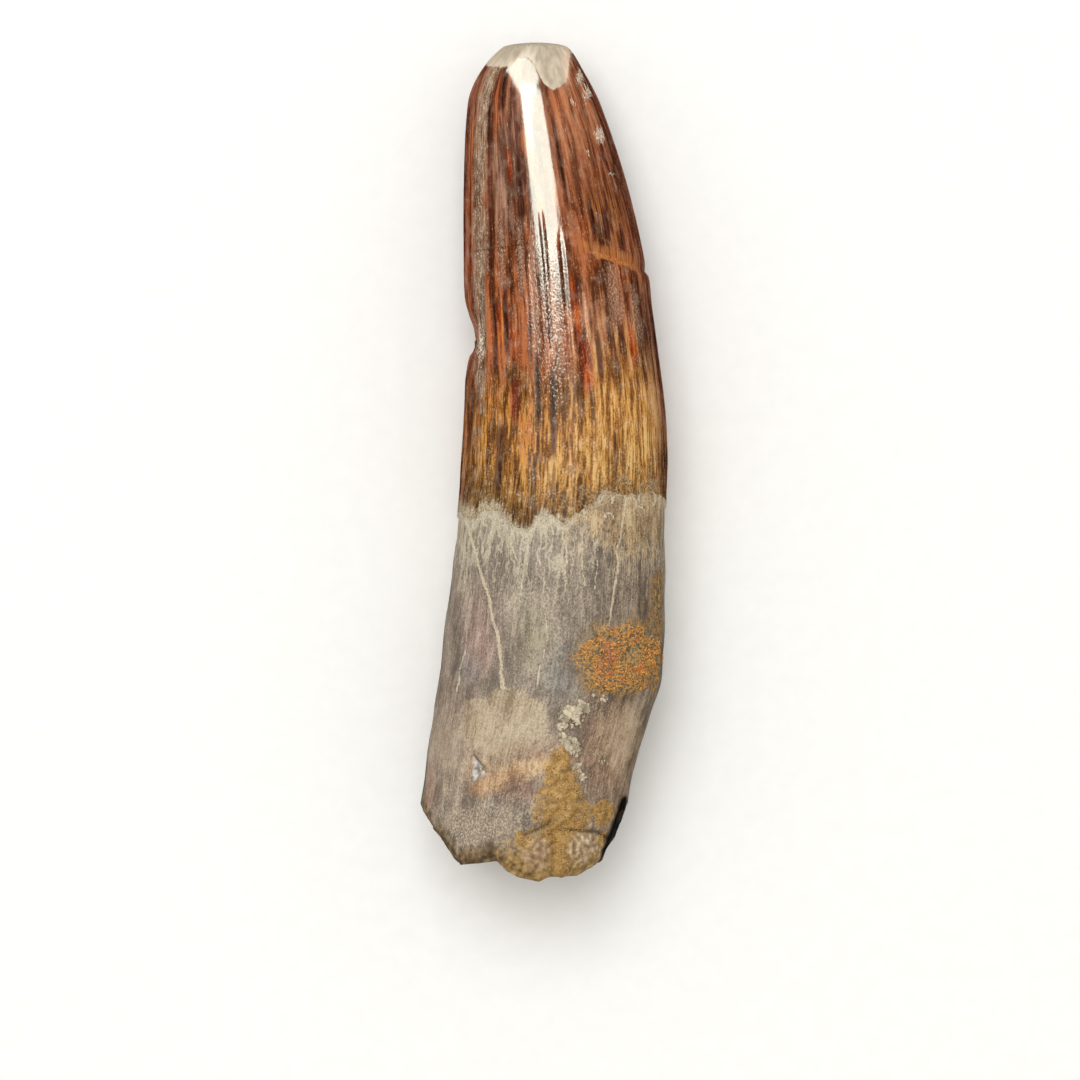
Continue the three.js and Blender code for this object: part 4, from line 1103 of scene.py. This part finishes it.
class FossilToothGrains(bpy.types.PropertyGroup):
    sand_grain: bpy.props.FloatProperty(
        name="Sand grain", description="Mean radius of the grains of sandstone", default=0.075 * MM,
        unit="LENGTH", precision=5)
    iron_grain: bpy.props.FloatProperty(
        name="Iron grain", description="Mean radius of the grains of iron crust", default=0.08 * MM,
        unit="LENGTH", precision=5)
    sand_count: bpy.props.IntProperty(
        name="Sand grains", description="How many grains of sandstone", default=2200)
    iron_count: bpy.props.IntProperty(
        name="Iron grains", description="How many grains of iron crust", default=700)


class FossilToothStage(bpy.types.PropertyGroup):
    lens: bpy.props.FloatProperty(
        name="Lens", description="Focal length of the camera that looks straight down on the tooth",
        default=180.0, unit="CAMERA")
    view_width: bpy.props.FloatProperty(
        name="View width", description="How much of the table the camera sees at the tooth's widest level",
        default=118.8 * MM, unit="LENGTH", precision=4)
    floor_size: bpy.props.FloatProperty(
        name="Floor size", description="Side of the square pale floor", default=1.6, unit="LENGTH")


# ---- Operators ----

class FOSSILTOOTH_OT_tooth(bpy.types.Operator):
    """Build the tooth: crown, root, broken face and worn tip in one closed skin"""

    bl_idname = "fossiltooth.tooth"
    bl_label = "Tooth"

    def execute(self, context):
        around, along, rim, enamel, flank, groove, stria = flank_grid()
        base, tip = break_rings(flank[0]), tip_rings(flank[-1])
        rings = np.concatenate([base[:-1][::-1], flank, tip[:-1]])
        points = np.concatenate([rings.reshape(-1, 3), base[-1:].mean(1), tip[-1:].mean(1)])
        columns = rings.shape[1]
        quads, fans = ring_faces(len(rings), columns)

        def spread(on_break, on_flank, on_tip):
            """A field's values on all points, from one value for each end and those on the flank."""
            before = np.full((len(base) - 1) * columns, on_break)
            after = np.full((len(tip) - 1) * columns, on_tip)
            return np.concatenate([before, on_flank.ravel(), after, [on_break, on_tip]])

        angle = np.append(np.broadcast_to(around[0], rings.shape[:2]).ravel(), [np.pi / 2, np.pi / 2])
        # How far each ring lies from its rim towards the middle of the broken face or the tip.
        from_rim = np.arange(1, len(base)) / len(base), np.arange(1, len(tip)) / len(tip)
        inwards = np.concatenate([from_rim[0][::-1], np.zeros(len(flank)), from_rim[1]])
        outwards = 1 - np.append(np.repeat(inwards, columns), [1, 1])
        fields = {
            "lanes": lanes(angle, points[:, 1]) * np.stack([outwards, outwards, np.ones_like(outwards)], -1),
            "place": points,
            "above_enamel": spread(-ENAMEL_EDGE, along - enamel, LENGTH - ENAMEL_EDGE),
            "groove": spread(0, groove, 0), "stria": spread(0, stria, 0),
            "from_break": spread(0, along - rim, LENGTH),
            **markings(angle, points[:, 0], points[:, 1]),
        }
        fields["worn_tip"][-1] = 1
        # The broken face is sand inside the wall of root.
        core = 2 * smooth_step(inwards[:len(base) - 1], 0.3, 0.46) - 1
        fields["fill"][:(len(base) - 1) * columns] = np.repeat(core, columns)
        fields["fill"][-2] = 1
        piece = build_mesh("fossil_tooth", to_frame(points), quads, fans, fields)
        piece.data.materials.append(enamel_material(context.scene.fossil_tooth_colours))
        piece.data.materials.append(root_material(context.scene.fossil_tooth_colours))
        edge_row = len(base) - 1 + int(np.searchsorted(row_stations(), ENAMEL_EDGE))
        is_root = np.repeat(np.arange(len(rings) - 1) < edge_row, columns)
        is_root = np.concatenate([is_root, np.ones(columns, bool), np.zeros(columns, bool)])
        piece.data.polygons.foreach_set("material_index", is_root.astype(np.int32))
        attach(piece, "root")
        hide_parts("tooth")
        return {"FINISHED"}


class FOSSILTOOTH_OT_silt(bpy.types.Operator):
    """Scatter crumbs of pale silt in clusters on the root"""

    bl_idname = "fossiltooth.silt"
    bl_label = "Silt crumbs"

    def execute(self, context):
        random = np.random.default_rng(7)
        skin_points, skin_normals = upper_points(random)
        table = np.array(CRUMBS)
        each = np.repeat(np.arange(len(table)), table[:, 3].astype(int))
        x, along, spread, _, size = table[each].T
        wanted = np.stack([x, along], -1) + random.normal(size=(len(each), 2)) * spread[:, None] * 0.6
        apart = np.hypot(skin_points[:, 0] - wanted[:, :1], skin_points[:, 1] - wanted[:, 1:])
        nearest = apart.argmin(1)
        sizes = size * random.uniform(0.25, 0.85, len(each))
        centres = skin_points[nearest] + skin_normals[nearest] * sizes[:, None] * 0.4
        stretch = 2.3, 1.6, 0.9
        piece = lumps_mesh("silt_crumbs", centres, skin_normals[nearest], sizes, 0.9, stretch, 71)
        piece.data.shade_flat()
        silt = context.scene.fossil_tooth_colours.silt
        tones = (shade(silt, 0.5), shade(silt, 1.2))
        piece.data.materials.append(grain_material("carbonate silt, crumbled", tones, 0.85))
        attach(piece, "root")
        return {"FINISHED"}


class FOSSILTOOTH_OT_grains(bpy.types.Operator):
    """Scatter grains of iron crust and of sandstone on their patches"""

    bl_idname = "fossiltooth.grains"
    bl_label = "Iron and sand grains"

    def execute(self, context):
        grains, colours = context.scene.fossil_tooth_grains, context.scene.fossil_tooth_colours
        skin_points, skin_normals = upper_points(np.random.default_rng(8))
        x, along, _ = skin_points.T
        bald = patch_reach(x, along, PATCHES["bald"]) < 1
        ragged = 0.35 * grain(skin_points, 1.1, 82)
        iron = np.clip(0.9 - crust_reach(x, along) + ragged, 0, 0.3) * ~bald
        cores = [patch_reach(x, along, PATCHES[name]) for name in ("lilac", "left_lilac")]
        on_core = np.min(cores, axis=0) < 0.9
        sand = smooth_step(sand_depth(x, along) + ragged, 0, 0.5) * (along > 0.6)
        sand *= ~on_core * (distance_to_path(x, along, CREVICE) > 1.1)
        rust = [shade(colours.iron, level) for level in (0.5, 0.9, 1.15)] + [linear("#cf6a33")]
        quartz = [shade(colours.sandstone, level) for level in (0.6, 1, 1.35)]
        for name, slot, weight, count, radius, sink, stretch, mineral, tones, seed in (
            ("iron_crust_grains", "iron_crust", iron, grains.iron_count, grains.iron_grain,
             0.1, (2.4, 1.2, 1.1), "iron oxide crust, grown in threads", rust, 81),
            ("sandstone_grains", "sandstone", sand, grains.sand_count, grains.sand_grain,
             -0.2, (1.8, 1.3, 1.1), "sandstone, weathered", quartz, 91),
        ):
            random = np.random.default_rng(seed)
            count = min(count, np.count_nonzero(weight))
            chosen = random.choice(len(weight), count, replace=False, p=weight / weight.sum())
            sizes = radius / MM * random.uniform(0.5, 1.6, count)
            centres = skin_points[chosen] + skin_normals[chosen] * sizes[:, None] * sink
            piece = lumps_mesh(name, centres, skin_normals[chosen], sizes, 0.45, stretch, seed)
            piece.data.materials.append(grain_material(mineral, tones, 0.8))
            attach(piece, "root")
        return {"FINISHED"}


class FOSSILTOOTH_OT_stage(bpy.types.Operator):
    """Lay a pale floor, light it softly and put the camera straight above"""

    bl_idname = "fossiltooth.stage"
    bl_label = "Stage"

    def execute(self, context):
        stage = context.scene.fossil_tooth_stage
        half = stage.floor_size / 2
        corners = np.array([(-half, -half, 0), (half, -half, 0), (half, half, 0), (-half, half, 0)])
        floor = build_mesh("floor", corners, np.array([[0, 1, 2, 3]]), np.empty((0, 3), int))
        floor.data.materials.append(floor_material(context.scene.fossil_tooth_colours.floor))
        floor.visible_glossy = False

        data = bpy.data.cameras.new("camera")
        data.lens, data.sensor_width = stage.lens, SENSOR_WIDTH
        data.clip_start, data.clip_end = 0.01, 10
        camera = bpy.data.objects.new("camera", data)
        x, along, _ = to_frame([(0, VIEW_ALONG, 0)])[0]
        camera.location = (x, along, WIDEST_LEVEL + stage.view_width * stage.lens / SENSOR_WIDTH)
        context.scene.collection.objects.link(camera)
        context.scene.camera = camera

        for name, place, turn, size, power, code, matt in LAMPS:
            lamp = bpy.data.lights.new(name, "AREA")
            lamp.shape, lamp.size, lamp.size_y, lamp.energy = "RECTANGLE", *size, power
            lamp.color = linear(code)[:3]
            lit = bpy.data.objects.new(name, lamp)
            facing = Vector(place).to_track_quat("Z", "Y") @ Quaternion((0, 0, 1), math.radians(turn))
            lit.location, lit.rotation_euler = place, facing.to_euler()
            lit.visible_camera, lit.visible_diffuse, lit.visible_glossy = False, matt, not matt
            context.scene.collection.objects.link(lit)

        world = bpy.data.worlds.new("soft room")
        world.use_nodes = True
        sky = world.node_tree.nodes["Background"].inputs
        sky["Color"].default_value = linear("#f6f4f0")
        sky["Strength"].default_value = ROOM_LIGHT
        world.cycles_visibility.glossy = False
        context.scene.world = world
        context.scene.view_settings.view_transform = "Standard"
        return {"FINISHED"}


class VIEW3D_PT_fossil_tooth(bpy.types.Panel):
    """The operators that build the tooth and its stage"""

    bl_label = "Fossil Tooth"
    bl_space_type = "VIEW_3D"
    bl_region_type = "UI"
    bl_category = "Fossil Tooth"

    def draw(self, context):
        for key, group in GROUPS.items():
            for name in group.__annotations__:
                self.layout.prop(getattr(context.scene, key), name)
        for operator in OPERATORS:
            self.layout.operator(operator.bl_idname)


OPERATORS = (FOSSILTOOTH_OT_tooth, FOSSILTOOTH_OT_silt, FOSSILTOOTH_OT_grains, FOSSILTOOTH_OT_stage)
GROUPS = {
    "fossil_tooth_colours": FossilToothColours,
    "fossil_tooth_grains": FossilToothGrains,
    "fossil_tooth_stage": FossilToothStage,
}
CLASSES = (*GROUPS.values(), *OPERATORS, VIEW3D_PT_fossil_tooth)


def register():
    for cls in CLASSES:
        bpy.utils.register_class(cls)
    for key, group in GROUPS.items():
        setattr(bpy.types.Scene, key, bpy.props.PointerProperty(type=group))


def unregister():
    for key in GROUPS:
        delattr(bpy.types.Scene, key)
    for cls in reversed(CLASSES):
        bpy.utils.unregister_class(cls)


def main():
    register()
    bpy.ops.fossiltooth.tooth()
    bpy.ops.fossiltooth.silt()
    bpy.ops.fossiltooth.grains()
    bpy.ops.fossiltooth.stage()
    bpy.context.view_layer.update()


if __name__ == "__main__":
    main()
